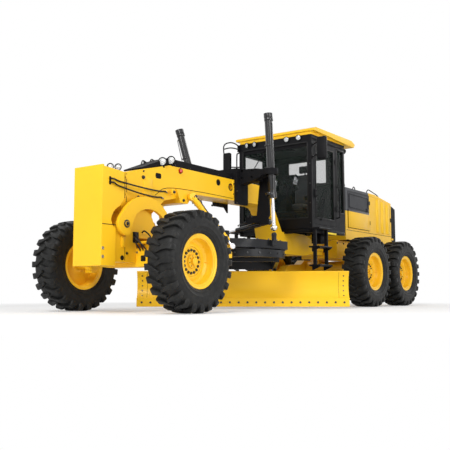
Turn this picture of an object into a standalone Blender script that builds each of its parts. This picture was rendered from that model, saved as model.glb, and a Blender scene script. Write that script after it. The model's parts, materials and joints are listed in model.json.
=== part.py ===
"""A motor grader with a front push block and a mid-mounted scarifier, as separate named pieces.

Metres. +X is forward, +Y is the machine's left, +Z is up, and Z = 0 is the ground.
Stations along the machine are given as distances behind the front axle.
"""

import math

import bmesh
import bpy
from mathutils import Matrix, Vector

# ---------------------------------------------------------------- driving dimensions
# Running gear
FRONT_AXLE_X = 3.65
WHEELBASE = 6.16  # front axle to the middle of the tandem
TANDEM_SPACING = 1.54
TRACK = 2.20
TYRE_DIAMETER = 1.35
TYRE_WIDTH = 0.445
RIM_SEAT_RADIUS = 0.318
RIM_FLANGE_RADIUS = 0.361
RIM_WIDTH = 0.344
RIM_WALL = 0.016
HUB_RADIUS = 0.11
SPINDLE_RADIUS = 0.05
SEAT_GAP = 0.0003  # between pieces that touch
RUN_GAP = 0.006  # between pieces that move past each other
PIN_GAP = 0.0005  # round a pin that turns in its hole

# Stations behind the front axle
BALL_BACK = 0.42
SADDLE_BACK = 2.40
CAB_FRONT_BACK = 3.80
CAB_REAR_BACK = 5.10
PIVOT_BACK = 5.28  # articulation pin
HOOD_FRONT_BACK = 5.52
HOOD_REAR_BACK = 7.80
TAIL_BACK = 8.10
PUSH_FACE_AHEAD = 0.80

# Main frame
BEAM_HALF = 0.20
BEAM_TOP_Z = 2.145
BEAM_LOW_Z = 1.81
NOSE_HALF = 0.24
NOSE_LOW_Z = 0.68
UNDERCAB_TOP_Z = 1.38
UNDERCAB_LOW_Z = 0.98

# Front axle
AXLE_HALF_DEPTH = 0.12
AXLE_LOW_Z = 0.62
AXLE_TOP_Z = 0.875
LEAN_PIN_Y = 0.68
LEAN_PIN_Z = 0.74
KINGPIN_Y = 0.84
LEAN_BAR_Z = 0.955
STEER_ARM = 0.38
ARM_TOP_Z = 0.94
TIE_BALL_RADIUS = 0.03

# Blade gear
BALL_Z = 1.20
BALL_RADIUS = 0.085
DRAFT_REACH = 2.08  # ball to the middle of the circle
FRAME_SHIFT = 0.12  # how far the circle is swung to the left
DRAFT_LOW_Z = 0.985
DRAFT_TOP_Z = 1.12
LIFT_EYE_BACK = 2.06  # the lift studs behind the ball
LIFT_EYE_Y = 0.74
DRAFT_RAIL_IN = 0.585  # inner and outer faces of the draft frame's side rails
DRAFT_RAIL_OUT = 0.70
CIRCLE_RADIUS = 0.77
CIRCLE_INNER = 0.61
CIRCLE_LOW_Z = 0.84
CIRCLE_TOP_Z = 0.96
BLADE_ANGLE = math.radians(36.6)
BLADE_LENGTH = 3.66
BLADE_HEIGHT = 0.60
BLADE_SHEET = 0.022
BLADE_LOW_Z = 0.03
BLADE_SET_BACK = 0.275  # cutting edge behind the middle of the circle
BLADE_OFFSET = 0.07
PITCH_PIN_Z = 0.30
LIFT_COLLAR_Y = 0.83
LIFT_COLLAR_Z = 2.24
LIFT_BARREL_RADIUS = 0.065
LIFT_ROD_RADIUS = 0.03
LIFT_BALL_RADIUS = 0.055
LIFT_STUD_RADIUS = 0.045
LIFT_STUD_Z = 1.205

# Cab
CAB_HALF = 0.80
CAB_LOW_Z = 1.42
CAB_TOP_Z = 3.14
ROOF_TOP_Z = 3.27
ROOF_AHEAD = 0.02  # the brim in front of the cab and behind it
ROOF_BEHIND = 0.35
CAB_WALL = 0.06
HINGE_OUT = 0.012  # of a door's hinge line from the wall it hangs on
GLASS = 0.012
DOOR_BACK = 0.86  # width of the door opening

# Rear frame and hood
RAIL_HALF = 0.34
RAIL_WIDTH = 0.12
RAIL_LOW_Z = 0.97
RAIL_TOP_Z = 1.33
HOOD_HALF = 0.60
HOOD_LOW_Z = 1.34
HOOD_TOP_Z = 2.40
HOOD_LEVEL = 1.40  # the level part of its top, before it slopes to the rear
HOOD_FALL = 0.11
HOOD_SHEET = 0.03
CASE_Y = 0.73  # middle of a tandem case
CASE_HALF = 0.09

SCARIFIER_PIN_BACK = -0.39  # the arms' pins, ahead of the front axle
SCARIFIER_PIN_Z = 1.19
SCARIFIER_LOW_Z = 0.80
SCARIFIER_TOP_Z = 0.90
SCARIFIER_DROP = math.radians(15)

WHEEL_STEPS = 24  # the tyre and the rim share their facets, so that the seat gap stays even
ROUND_STEPS = 14

# ---------------------------------------------------------------- derived positions
TYRE_RADIUS = TYRE_DIAMETER / 2
WHEEL_Y = TRACK / 2
BALL_X = FRONT_AXLE_X - BALL_BACK
SADDLE_X = FRONT_AXLE_X - SADDLE_BACK
FRAME_SWING = -math.asin(FRAME_SHIFT / DRAFT_REACH)
CIRCLE_X = BALL_X - DRAFT_REACH * math.cos(FRAME_SWING)
SIDE_SHIFT_X = SADDLE_X - 0.262
SIDE_SHIFT_START = (0.60, 1.45)  # (y, z) of the cylinder's eye on the saddle
SIDE_SHIFT_END = (-0.50, 1.26)  # and of its rod's eye over the draft frame's right rail
CAB_FRONT_X = FRONT_AXLE_X - CAB_FRONT_BACK
CAB_REAR_X = FRONT_AXLE_X - CAB_REAR_BACK
PIVOT_X = FRONT_AXLE_X - PIVOT_BACK
HOOD_FRONT_X = FRONT_AXLE_X - HOOD_FRONT_BACK
HOOD_REAR_X = FRONT_AXLE_X - HOOD_REAR_BACK
TAIL_X = FRONT_AXLE_X - TAIL_BACK
TANDEM_X = FRONT_AXLE_X - WHEELBASE
FRONT_X = FRONT_AXLE_X + PUSH_FACE_AHEAD
SIDES = (("left", 1), ("right", -1))

COLOURS = {  # name: (red, green, blue, roughness, metallic)
    "yellow": (0.90, 0.52, 0.03, 0.45, 0.0),
    "black": (0.03, 0.03, 0.035, 0.5, 0.0),
    "dark_grey": (0.05, 0.052, 0.056, 0.5, 0.0),
    "rubber": (0.03, 0.03, 0.03, 0.9, 0.0),
    "steel": (0.55, 0.55, 0.55, 0.3, 1.0),
    "glass": (0.6, 0.7, 0.65, 0.1, 0.0),
    "lamp": (0.85, 0.85, 0.85, 0.2, 0.0),
}


# ---------------------------------------------------------------- scene helpers
def clear_scene():
    for obj in list(bpy.data.objects):
        bpy.data.objects.remove(obj)


def make_collection(name):
    collection = bpy.data.collections.new(name)
    bpy.context.scene.collection.children.link(collection)
    return collection


def make_materials():
    for name, (red, green, blue, roughness, metallic) in COLOURS.items():
        material = bpy.data.materials.new(name)
        material.use_nodes = True
        shader = material.node_tree.nodes["Principled BSDF"]
        shader.inputs["Base Color"].default_value = (red, green, blue, 1)
        shader.inputs["Roughness"].default_value = roughness
        shader.inputs["Metallic"].default_value = metallic


def pivot(name, location, parent=None, turn=0.0):
    """An empty on a joint's axis, turned about Z in its parent's frame."""
    empty = bpy.data.objects.new(name, None)
    empty.empty_display_size = 0.1
    empty.location = location
    empty.rotation_euler = (0, 0, turn)
    empty.parent = parent
    MACHINE.objects.link(empty)
    return empty


def from_bmesh(bm, name="form"):
    mesh = bpy.data.meshes.new(name)
    bm.to_mesh(mesh)
    bm.free()
    obj = bpy.data.objects.new(name, mesh)
    HELPERS.objects.link(obj)
    return obj


def realised(obj):
    """The object's evaluated shape as a plain closed mesh object."""
    bpy.context.view_layer.update()
    graph = bpy.context.evaluated_depsgraph_get()
    mesh = bpy.data.meshes.new_from_object(obj.evaluated_get(graph))
    matrix = obj.matrix_world.copy()
    bpy.data.objects.remove(obj)
    bm = bmesh.new()
    bm.from_mesh(mesh)
    bmesh.ops.remove_doubles(bm, verts=bm.verts, dist=1e-5)
    bmesh.ops.transform(bm, matrix=matrix, verts=bm.verts)
    bpy.data.meshes.remove(mesh)
    return from_bmesh(bm)


def box(low, high):
    """A block between two opposite corners."""
    low, high = Vector(low), Vector(high)
    bm = bmesh.new()
    bmesh.ops.create_cube(bm, size=1)
    bmesh.ops.scale(bm, vec=high - low, verts=bm.verts)
    bmesh.ops.translate(bm, vec=(low + high) / 2, verts=bm.verts)
    return from_bmesh(bm)


def rod(start, end, radius, end_radius=None, steps=ROUND_STEPS, twist=0.0):
    """A round bar, or a cone, from start to end, its corners turned by twist."""
    start, end = Vector(start), Vector(end)
    run = end - start
    bm = bmesh.new()
    bmesh.ops.create_cone(
        bm,
        cap_ends=True,
        segments=steps,
        radius1=radius,
        radius2=radius if end_radius is None else end_radius,
        depth=run.length,
    )
    turn = run.to_track_quat("Z", "Y").to_matrix().to_4x4() @ Matrix.Rotation(twist, 4, "Z")
    bmesh.ops.transform(bm, matrix=Matrix.Translation((start + end) / 2) @ turn, verts=bm.verts)
    return from_bmesh(bm)


def ball(centre, radius, steps=12):
    """A ball whose poles lie along Y."""
    bm = bmesh.new()
    bmesh.ops.create_uvsphere(bm, u_segments=steps, v_segments=max(6, steps // 3), radius=radius)
    place = Matrix.Translation(centre) @ Matrix.Rotation(math.pi / 2, 4, "X")
    bmesh.ops.transform(bm, matrix=place, verts=bm.verts)
    return from_bmesh(bm)


def pin_hole(start, end, pin_radius, steps=ROUND_STEPS):
    """A faceted hole that a faceted pin turns in, with the pin's corners facing the hole's flats."""
    half_step = math.pi / steps
    return rod(start, end, (pin_radius + PIN_GAP) / math.cos(half_step), steps=steps, twist=half_step)


def arc(centre, radius, start, end, steps):
    """Points on an arc, in degrees, both ends included."""
    angles = [math.radians(start + (end - start) * i / steps) for i in range(steps + 1)]
    return [(centre[0] + radius * math.cos(a), centre[1] + radius * math.sin(a)) for a in angles]


def plate(outline, low, high, plane="XZ"):
    """A flat outline in the XZ, XY or YZ plane, extruded from low to high along the third axis."""
    curve = bpy.data.curves.new("outline", "CURVE")
    curve.dimensions = "2D"
    curve.fill_mode = "BOTH"
    curve.extrude = (high - low) / 2
    spline = curve.splines.new("POLY")
    spline.points.add(len(outline) - 1)
    for point, (u, v) in zip(spline.points, outline):
        point.co = (u, v, 0, 1)
    spline.use_cyclic_u = True
    obj = bpy.data.objects.new("outline", curve)
    middle = (low + high) / 2
    if plane == "XZ":
        obj.matrix_world = Matrix.Translation((0, middle, 0)) @ Matrix.Rotation(math.pi / 2, 4, "X")
    elif plane == "YZ":
        turn = Matrix(((0, 0, 1, middle), (1, 0, 0, 0), (0, 1, 0, 0), (0, 0, 0, 1)))
        obj.matrix_world = turn
    else:
        obj.matrix_world = Matrix.Translation((0, 0, middle))
    HELPERS.objects.link(obj)
    return realised(obj)


def turned(profile, steps):
    """A profile of (radius, distance) pairs turned about the Y axis, distance along +Y."""
    bm = bmesh.new()
    corners = [bm.verts.new((radius, along, 0)) for radius, along in profile]
    for first, second in zip(corners, corners[1:]):
        bm.edges.new((first, second))
    if profile[0][0] > 0:
        bm.edges.new((corners[-1], corners[0]))
    obj = from_bmesh(bm, "profile")
    screw = obj.modifiers.new("turn", "SCREW")
    screw.axis = "Y"
    screw.steps = steps
    screw.render_steps = steps
    screw.use_merge_vertices = True
    screw.merge_threshold = 0.0001
    screw.use_normal_calculate = True
    return facing_out(realised(obj))


def facing_out(obj):
    bm = bmesh.new()
    bm.from_mesh(obj.data)
    bmesh.ops.recalc_face_normals(bm, faces=bm.faces)
    if bm.calc_volume(signed=True) < 0:
        bmesh.ops.reverse_faces(bm, faces=bm.faces)
    bm.to_mesh(obj.data)
    bm.free()
    return obj


def tube(points, radius, sides=2, cyclic=False):
    """A round tube along straight runs between points."""
    curve = bpy.data.curves.new("route", "CURVE")
    curve.dimensions = "3D"
    curve.bevel_depth = radius
    curve.bevel_resolution = sides
    curve.use_fill_caps = not cyclic
    spline = curve.splines.new("POLY")
    spline.points.add(len(points) - 1)
    for point, place in zip(spline.points, points):
        point.co = (*place, 1)
    spline.use_cyclic_u = cyclic
    obj = bpy.data.objects.new("route", curve)
    HELPERS.objects.link(obj)
    return facing_out(realised(obj))


def moved(obj, offset=(0, 0, 0), turn=0.0, axis="Z"):
    obj.data.transform(Matrix.Translation(offset) @ Matrix.Rotation(turn, 4, axis))
    return obj


def mirrored(obj):
    """A copy on the other side of the machine."""
    copy = obj.copy()
    copy.data = obj.data.copy()
    copy.data.transform(Matrix.Scale(-1, 4, (0, 1, 0)))
    copy.data.flip_normals()
    HELPERS.objects.link(copy)
    return copy


def both_sides(*forms):
    return [side for form in forms for side in (form, mirrored(form))]


def combine(obj, others, operation):
    for other in others:
        modifier = obj.modifiers.new(operation.lower(), "BOOLEAN")
        modifier.operation = operation
        modifier.solver = "EXACT"
        modifier.object = other
        other.hide_render = True
        other.display_type = "WIRE"
    return obj


def fuse(first, *others):
    return combine(first, others, "UNION")


def cut(first, *others):
    return combine(first, others, "DIFFERENCE")


def piece(name, obj, material, parent=None):
    """Makes a form one of the machine's named pieces. A moving piece has its origin at its parent empty."""
    HELPERS.objects.unlink(obj)
    MACHINE.objects.link(obj)
    obj.name = name
    obj.data.materials.clear()
    obj.data.materials.append(bpy.data.materials[material])
    if parent:
        for helper in [m.object for m in obj.modifiers if m.type == "BOOLEAN"]:
            attach(helper, parent)
        attach(obj, parent)
    return obj


def attach(obj, parent):
    """Parents a form that was drawn in the machine's frame, with its origin moved to the parent's."""
    bpy.context.view_layer.update()
    obj.data.transform(parent.matrix_world.inverted())
    obj.parent = parent


# ---------------------------------------------------------------- wheels
def tyre_profile():
    """(radius, across) of a tyre's section: a superellipse that narrows to the bead at the rim."""
    middle = (RIM_FLANGE_RADIUS + TYRE_RADIUS) / 2 - 0.01
    half_height = TYRE_RADIUS - middle
    bead = RIM_WIDTH / 2 - RIM_WALL + 0.004
    outer = []
    crown = math.cos(math.radians(24)) ** 0.62
    for degrees in (-128, -90, -50, -24, 24, 50, 90, 128):
        angle = math.radians(degrees)
        rise = math.copysign(abs(math.cos(angle)) ** 0.62, math.cos(angle)) / crown
        reach = math.copysign(abs(math.sin(angle)) ** 0.62, math.sin(angle))
        outer.append((middle + half_height * rise, TYRE_WIDTH / 2 * reach))
    low = RIM_SEAT_RADIUS + SEAT_GAP
    edge = RIM_FLANGE_RADIUS + SEAT_GAP
    return [(low, -bead), (edge, -bead), *outer, (edge, bead), (low, bead)]


def rim_profile(hub_out, hub_in, bore_depth):
    """(radius, across) of a dished rim with its hub, across measured outward from the middle plane."""
    half = RIM_WIDTH / 2
    flange_in = half - RIM_WALL + 0.0045
    bore = SPINDLE_RADIUS / math.cos(math.pi / WHEEL_STEPS) + SEAT_GAP
    well = RIM_SEAT_RADIUS - RIM_WALL
    return [
        (0, hub_out),
        (0.075, hub_out),
        (0.085, 0.03),
        (0.205, 0.012),
        (well, 0.05),
        (well, half - 0.02),
        (RIM_FLANGE_RADIUS, half),
        (RIM_FLANGE_RADIUS, flange_in),
        (RIM_SEAT_RADIUS, flange_in),
        (RIM_SEAT_RADIUS, -flange_in),
        (RIM_FLANGE_RADIUS, -flange_in),
        (RIM_FLANGE_RADIUS, -half),
        (well, -half + 0.02),
        (well, 0.0),
        (HUB_RADIUS, -0.03),
        (HUB_RADIUS, hub_in),
        (bore, hub_in),
        (bore, bore_depth),
        (0, bore_depth),
    ]


def make_wheel(name, centre, side, parent):
    """A tyre and its dished rim, turning on a spindle along Y."""
    joint = pivot(f"{name}_axis", centre_in(parent, centre), parent)
    hub_in, bore_depth = -0.06, 0.0
    rim = turned(rim_profile(0.11, hub_in, bore_depth), WHEEL_STEPS)
    tyre = turned(tyre_profile(), WHEEL_STEPS)
    for obj, suffix, material in ((rim, "rim", "yellow"), (tyre, "tyre", "rubber")):
        if side < 0:
            obj.data.transform(Matrix.Rotation(math.pi, 4, "Z"))
        moved(obj, centre)
        piece(f"{name}_{suffix}", obj, material, joint)


def centre_in(parent, point):
    """A point of the machine's frame in the parent's frame."""
    if parent is None:
        return Vector(point)
    bpy.context.view_layer.update()
    return parent.matrix_world.inverted() @ Vector(point)


# ---------------------------------------------------------------- front frame
def make_main_frame():
    x = FRONT_AXLE_X
    outline = [
        (x + 0.54, NOSE_LOW_Z),
        (x + 0.54, 1.13),
        (x + 0.38, 1.27),
        (x + 0.38, 1.90),
        (x + 0.00, 2.00),
        (x - 0.61, BEAM_TOP_Z),
        (x - 2.98, BEAM_TOP_Z),
        *arc((x - 2.98, BEAM_TOP_Z - 0.50), 0.50, 90, 140, 4)[1:],
        (x - 3.74, UNDERCAB_TOP_Z),
        (x - 4.55, UNDERCAB_TOP_Z),
        (x - 4.95, 1.26),
        (x - 4.95, 1.05),
        (x - 4.60, UNDERCAB_LOW_Z),
        (x - 3.74, UNDERCAB_LOW_Z),
        (x - 3.50, 1.16),
        (x - 3.40, 1.56),
        *arc((x - 3.13, 1.56), 0.25, 150, 90, 3)[1:],
        (x - 1.25, BEAM_LOW_Z - 0.03),
        (x - 0.50, 1.61),
        (x - 0.23, 1.39),
        (x - 0.23, NOSE_LOW_Z),
    ]
    beam = plate(outline, -BEAM_HALF, BEAM_HALF)
    cheek_outline = [
        (x + 0.54, NOSE_LOW_Z),
        (x + 0.54, 1.13),
        (x + 0.42, 1.34),
        *arc((x + 0.02, 1.16), 0.27, 60, 165, 5),
        (x - 0.24, NOSE_LOW_Z),
    ]
    cheeks = plate(cheek_outline, -NOSE_HALF, NOSE_HALF)
    window = box((x - AXLE_HALF_DEPTH - SEAT_GAP, -1, 0.5), (x + AXLE_HALF_DEPTH + SEAT_GAP, 1, 1.02))
    neck_lugs = [box((PIVOT_X, -0.165, z), (x - 4.70, 0.165, z + 0.07)) for z in (1.02, 1.21)]
    lug_ends = [rod((PIVOT_X, 0, z - 0.002), (PIVOT_X, 0, z + 0.072), 0.17) for z in (1.02, 1.21)]
    pin = rod((PIVOT_X, 0, 0.99), (PIVOT_X, 0, 1.31), 0.06)
    ball_seat = rod((x - 0.20, 0, BALL_Z), (BALL_X + 0.01, 0, BALL_Z), 0.11, 0.12)
    ball_cup = ball((BALL_X, 0, BALL_Z), BALL_RADIUS + 2 * PIN_GAP, steps=24)
    bracket = plate(
        [(x - 0.69, 1.80), (x - 0.78, 1.60), (x - 0.95, 1.60), (x - 1.10, 1.80)], -0.27, 0.27
    )
    sight_hole = rod((x - 2.14, -1, 2.01), (x - 2.14, 1, 2.01), 0.045)
    frame = fuse(beam, cheeks, bracket, ball_seat, *neck_lugs, *lug_ends, pin)
    arm_x = x - SCARIFIER_PIN_BACK
    arm_pin = rod((arm_x, -0.34, SCARIFIER_PIN_Z), (arm_x, 0.34, SCARIFIER_PIN_Z), 0.035)
    lift_pins = []
    for _, side in SIDES:
        top, _, outward = scarifier_cylinder_line(side)
        lift_pins.append(rod(top - outward * 0.14, top + outward * 0.037, 0.02))
    fuse(frame, arm_pin, *lift_pins)
    return piece("main_frame", cut(frame, window, sight_hole, ball_cup), "yellow")


def make_push_block():
    x = FRONT_AXLE_X
    gap = SEAT_GAP
    outline = [
        (FRONT_X, 0.62),
        (FRONT_X, 1.95),
        (FRONT_X - 0.035, 1.95),
        (FRONT_X - 0.035, 1.93),
        (x + 0.38 + gap, 1.90),
        (x + 0.38 + gap, 1.55),
        *arc((x + 0.38, 1.19), 0.25, 70, 10, 5),
        (x + 0.60, 1.16),
        (x + 0.54 + gap, 1.12),
        (x + 0.54 + gap, 0.62),
    ]
    return piece("push_block", plate(outline, -0.27, 0.27), "yellow")


def make_frame_cover():
    x = FRONT_AXLE_X
    low = BEAM_TOP_Z + SEAT_GAP
    outline = [
        (x - 0.02, 2.03),
        (x - 0.61, 2.26),
        (x - 2.68, 2.25),
        (x - 2.68, low),
        (x - 0.61, low),
        (x - 0.03, 2.01),
    ]
    piece("frame_cover", plate(outline, -0.17, 0.17), "black")


def make_headlights():
    x = FRONT_AXLE_X
    bar = box((x - 0.66, -0.14, 2.29), (x - 0.60, 0.14, 2.31))
    lamps = both_sides(rod((x - 0.68, 0.13, 2.33), (x - 0.55, 0.13, 2.33), 0.055))
    stem = rod((x - 0.63, 0, 2.2603), (x - 0.63, 0, 2.30), 0.015)
    return piece("headlights", fuse(bar, stem, *lamps), "lamp")


def make_front_axle():
    x = FRONT_AXLE_X
    outline = [
        (-0.62, 0.66),
        (-0.30, AXLE_LOW_Z),
        (0.30, AXLE_LOW_Z),
        (0.62, 0.66),
        (0.62, 0.82),
        (0.30, AXLE_TOP_Z),
        (-0.30, AXLE_TOP_Z),
        (-0.62, 0.82),
    ]
    beam = plate(outline, x - AXLE_HALF_DEPTH, x + AXLE_HALF_DEPTH, "YZ")
    ears = []
    for low, high in ((-AXLE_HALF_DEPTH, -0.075), (0.075, AXLE_HALF_DEPTH)):
        ears.append(box((x + low, 0.55, LEAN_PIN_Z - 0.075), (x + high, LEAN_PIN_Y, LEAN_PIN_Z + 0.075)))
        ears.append(rod((x + low, LEAN_PIN_Y, LEAN_PIN_Z), (x + high, LEAN_PIN_Y, LEAN_PIN_Z), 0.075))
    pin = rod((x - 0.1, LEAN_PIN_Y, LEAN_PIN_Z), (x + 0.1, LEAN_PIN_Y, LEAN_PIN_Z), 0.03)
    return piece("front_axle", fuse(beam, *both_sides(*ears, pin)), "yellow")


def make_front_wheel(side_name, side):
    x = FRONT_AXLE_X
    lean = pivot(f"lean_{side_name}_axis", (x, side * LEAN_PIN_Y, LEAN_PIN_Z))
    body = box((x - 0.068, 0.70, 0.60), (x + 0.068, 0.76, 0.90))
    eye = rod((x - 0.068, LEAN_PIN_Y, LEAN_PIN_Z), (x + 0.068, LEAN_PIN_Y, LEAN_PIN_Z), 0.058)
    top = box((x - 0.03, LEAN_PIN_Y - 0.03, 0.85), (x + 0.03, 0.74, LEAN_BAR_Z))
    top_eye = rod((x - 0.03, LEAN_PIN_Y, LEAN_BAR_Z), (x + 0.03, LEAN_PIN_Y, LEAN_BAR_Z), 0.035)
    lugs = []
    for low, high in ((0.56, 0.60), (0.75, 0.79)):
        lugs.append(box((x - 0.05, 0.72, low), (x + 0.05, KINGPIN_Y, high)))
        lugs.append(rod((x, KINGPIN_Y, low), (x, KINGPIN_Y, high), 0.05))
    kingpin = rod((x, KINGPIN_Y, 0.57), (x, KINGPIN_Y, 0.78), 0.025)
    hole = pin_hole((x - 0.2, LEAN_PIN_Y, LEAN_PIN_Z), (x + 0.2, LEAN_PIN_Y, LEAN_PIN_Z), 0.03)
    bar_pin = rod((x, LEAN_PIN_Y, LEAN_BAR_Z), (x + 0.10, LEAN_PIN_Y, LEAN_BAR_Z), 0.016)
    yoke = [body, eye, top, top_eye, *lugs, kingpin, bar_pin]
    if side < 0:
        yoke = [mirrored(form) for form in yoke]
        hole = mirrored(hole)
    piece(f"lean_yoke_{side_name}", cut(fuse(yoke[0], *yoke[1:]), hole), "yellow", lean)

    steer_at = (x, side * KINGPIN_Y, 0.675)
    steer = pivot(f"steer_{side_name}_axis", centre_in(lean, steer_at), lean)
    collar = rod((x, KINGPIN_Y, 0.606), (x, KINGPIN_Y, 0.744), 0.048)
    spindle_root = rod((x, KINGPIN_Y + 0.02, 0.675), (x, WHEEL_Y - 0.066, 0.675), 0.062, 0.07)
    spindle = rod((x, WHEEL_Y - 0.10, 0.675), (x, WHEEL_Y - 0.001, 0.675), SPINDLE_RADIUS)
    riser = box((x - 0.10, KINGPIN_Y + 0.022, 0.66), (x - 0.055, KINGPIN_Y + 0.028, ARM_TOP_Z - 0.001))
    foot = box((x - 0.10, KINGPIN_Y + 0.022, 0.64), (x + 0.0, KINGPIN_Y + 0.029, 0.71))
    arm = box((x - STEER_ARM, KINGPIN_Y - 0.015, ARM_TOP_Z - 0.03), (x - 0.055, KINGPIN_Y + 0.027, ARM_TOP_Z))
    eye = tie_rod_eye(1)
    arm_eye = rod((eye.x, eye.y, ARM_TOP_Z - 0.031), (eye.x, eye.y, ARM_TOP_Z + 0.001), 0.027, steps=16)
    stud = rod((eye.x, eye.y, ARM_TOP_Z), eye + Vector((0, 0, 0.012)), 0.011, steps=12)
    bore = pin_hole((x, KINGPIN_Y, 0.5), (x, KINGPIN_Y, 0.8), 0.025)
    knuckle = [collar, spindle_root, spindle, foot, riser, arm, arm_eye, stud]
    if side < 0:
        knuckle.append(ball(eye, TIE_BALL_RADIUS - 0.002))
    if side < 0:
        knuckle = [mirrored(form) for form in knuckle]
        bore = mirrored(bore)
    knuckle_piece = cut(fuse(knuckle[0], *knuckle[1:]), bore)
    piece(f"knuckle_{side_name}", knuckle_piece, "yellow", steer)
    make_wheel(f"front_{side_name}", (x, side * WHEEL_Y, TYRE_RADIUS), side, steer)
    return lean, steer


def tie_rod_eye(side):
    """The middle of the ball at the end of a steering arm."""
    return Vector((FRONT_AXLE_X - STEER_ARM, KINGPIN_Y * side, ARM_TOP_Z + TIE_BALL_RADIUS + 0.005))


def make_lean_bar(lean_left):
    x = FRONT_AXLE_X
    bar_x = x + 0.065
    joint = pivot("lean_bar_axis", centre_in(lean_left, (bar_x, LEAN_PIN_Y, LEAN_BAR_Z)), lean_left)
    reach = LEAN_PIN_Y - 0.04
    bar = rod((bar_x, -reach, LEAN_BAR_Z), (bar_x, reach, LEAN_BAR_Z), 0.022)
    forms, bores = [], []
    for y in (LEAN_PIN_Y, -LEAN_PIN_Y):
        forms.append(rod((x + 0.04, y, LEAN_BAR_Z), (x + 0.09, y, LEAN_BAR_Z), 0.042))
        bores.append(pin_hole((x, y, LEAN_BAR_Z), (x + 0.2, y, LEAN_BAR_Z), 0.016))
    piece("lean_bar", cut(fuse(bar, *forms), *bores), "black", joint)


def make_tie_rod(steer_left):
    """The rod between the steering arms. It turns on the left arm's ball and stops short of the right arm."""
    left, right = tie_rod_eye(1), tie_rod_eye(-1)
    end_joint = pivot("tie_end_axis", centre_in(steer_left, left), steer_left)
    hole = pin_hole(left - Vector((0, 0, 0.1)), left + Vector((0, 0, 0.0125)), 0.011, steps=12)
    piece("tie_rod_end_left", cut(ball(left, TIE_BALL_RADIUS, steps=24), hole), "dark_grey", end_joint)
    rod_joint = pivot("tie_rod_axis", (0, 0, 0), end_joint)
    along = Vector((0, 1, 0))
    bar = rod(left - along * 0.022, right + along * 0.048, 0.02)
    cup = ball(left, TIE_BALL_RADIUS + 0.0009, steps=24)
    piece("tie_rod", cut(bar, cup), "dark_grey", rod_joint)


def make_lift_saddle():
    x = SADDLE_X
    half = 0.16
    gap = SEAT_GAP
    collar = box((x - half, -BEAM_HALF - 0.06, 1.74), (x + half, BEAM_HALF + 0.06, 2.34))
    hollow = box((x - 1, -BEAM_HALF - gap, 0), (x + 1, BEAM_HALF + gap, BEAM_TOP_Z + gap))
    cover_hollow = box((x - 1, -0.17 - gap, 2.1), (x + 1, 0.17 + gap, 2.258))
    arms = plate(
        [(0.22, 2.05), (0.22, 2.33), (0.60, 2.31), (0.75, 2.28), (0.75, 2.19), (0.55, 2.13)],
        x - 0.07,
        x + 0.07,
        "YZ",
    )
    rings = []
    for side in (1, -1):
        centre = (x, side * LIFT_COLLAR_Y)
        ring = rod((*centre, LIFT_COLLAR_Z - 0.05), (*centre, LIFT_COLLAR_Z + 0.05), 0.115)
        rings.append(ring)
    holes = [
        rod((x, LIFT_COLLAR_Y, 2.0), (x, LIFT_COLLAR_Y, 2.5), 0.088, steps=16),
        rod((x, -LIFT_COLLAR_Y, 2.0), (x, -LIFT_COLLAR_Y, 2.5), 0.088, steps=16),
    ]
    back, ahead = x - 0.21, x - 0.165
    right_link = [(-0.56, 2.20), (-0.46, 2.22), (0.06, 1.58), (0.02, 1.44), (-0.08, 1.46)]
    left_link = [(0.50, 2.20), (0.66, 2.20), (0.68, 1.56), (0.60, 1.44), (0.42, 1.46)]
    links = [
        plate(right_link, back, ahead, "YZ"),
        plate(left_link, back, ahead, "YZ"),
        box((back, -0.04, 1.44), (ahead, 0.62, 1.56)),
        box((x - 0.20, -0.50, 2.12), (x + 0.0, -0.24, 2.22)),
        box((x - 0.20, 0.24, 2.12), (x + 0.0, 0.56, 2.22)),
    ]
    swing_lug = box((back, 0.50, 1.40), (ahead, 0.66, 1.50))
    saddle = fuse(collar, *both_sides(arms), *rings, *links, swing_lug)
    return piece("lift_saddle", cut(saddle, hollow, cover_hollow, *holes), "black")


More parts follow.
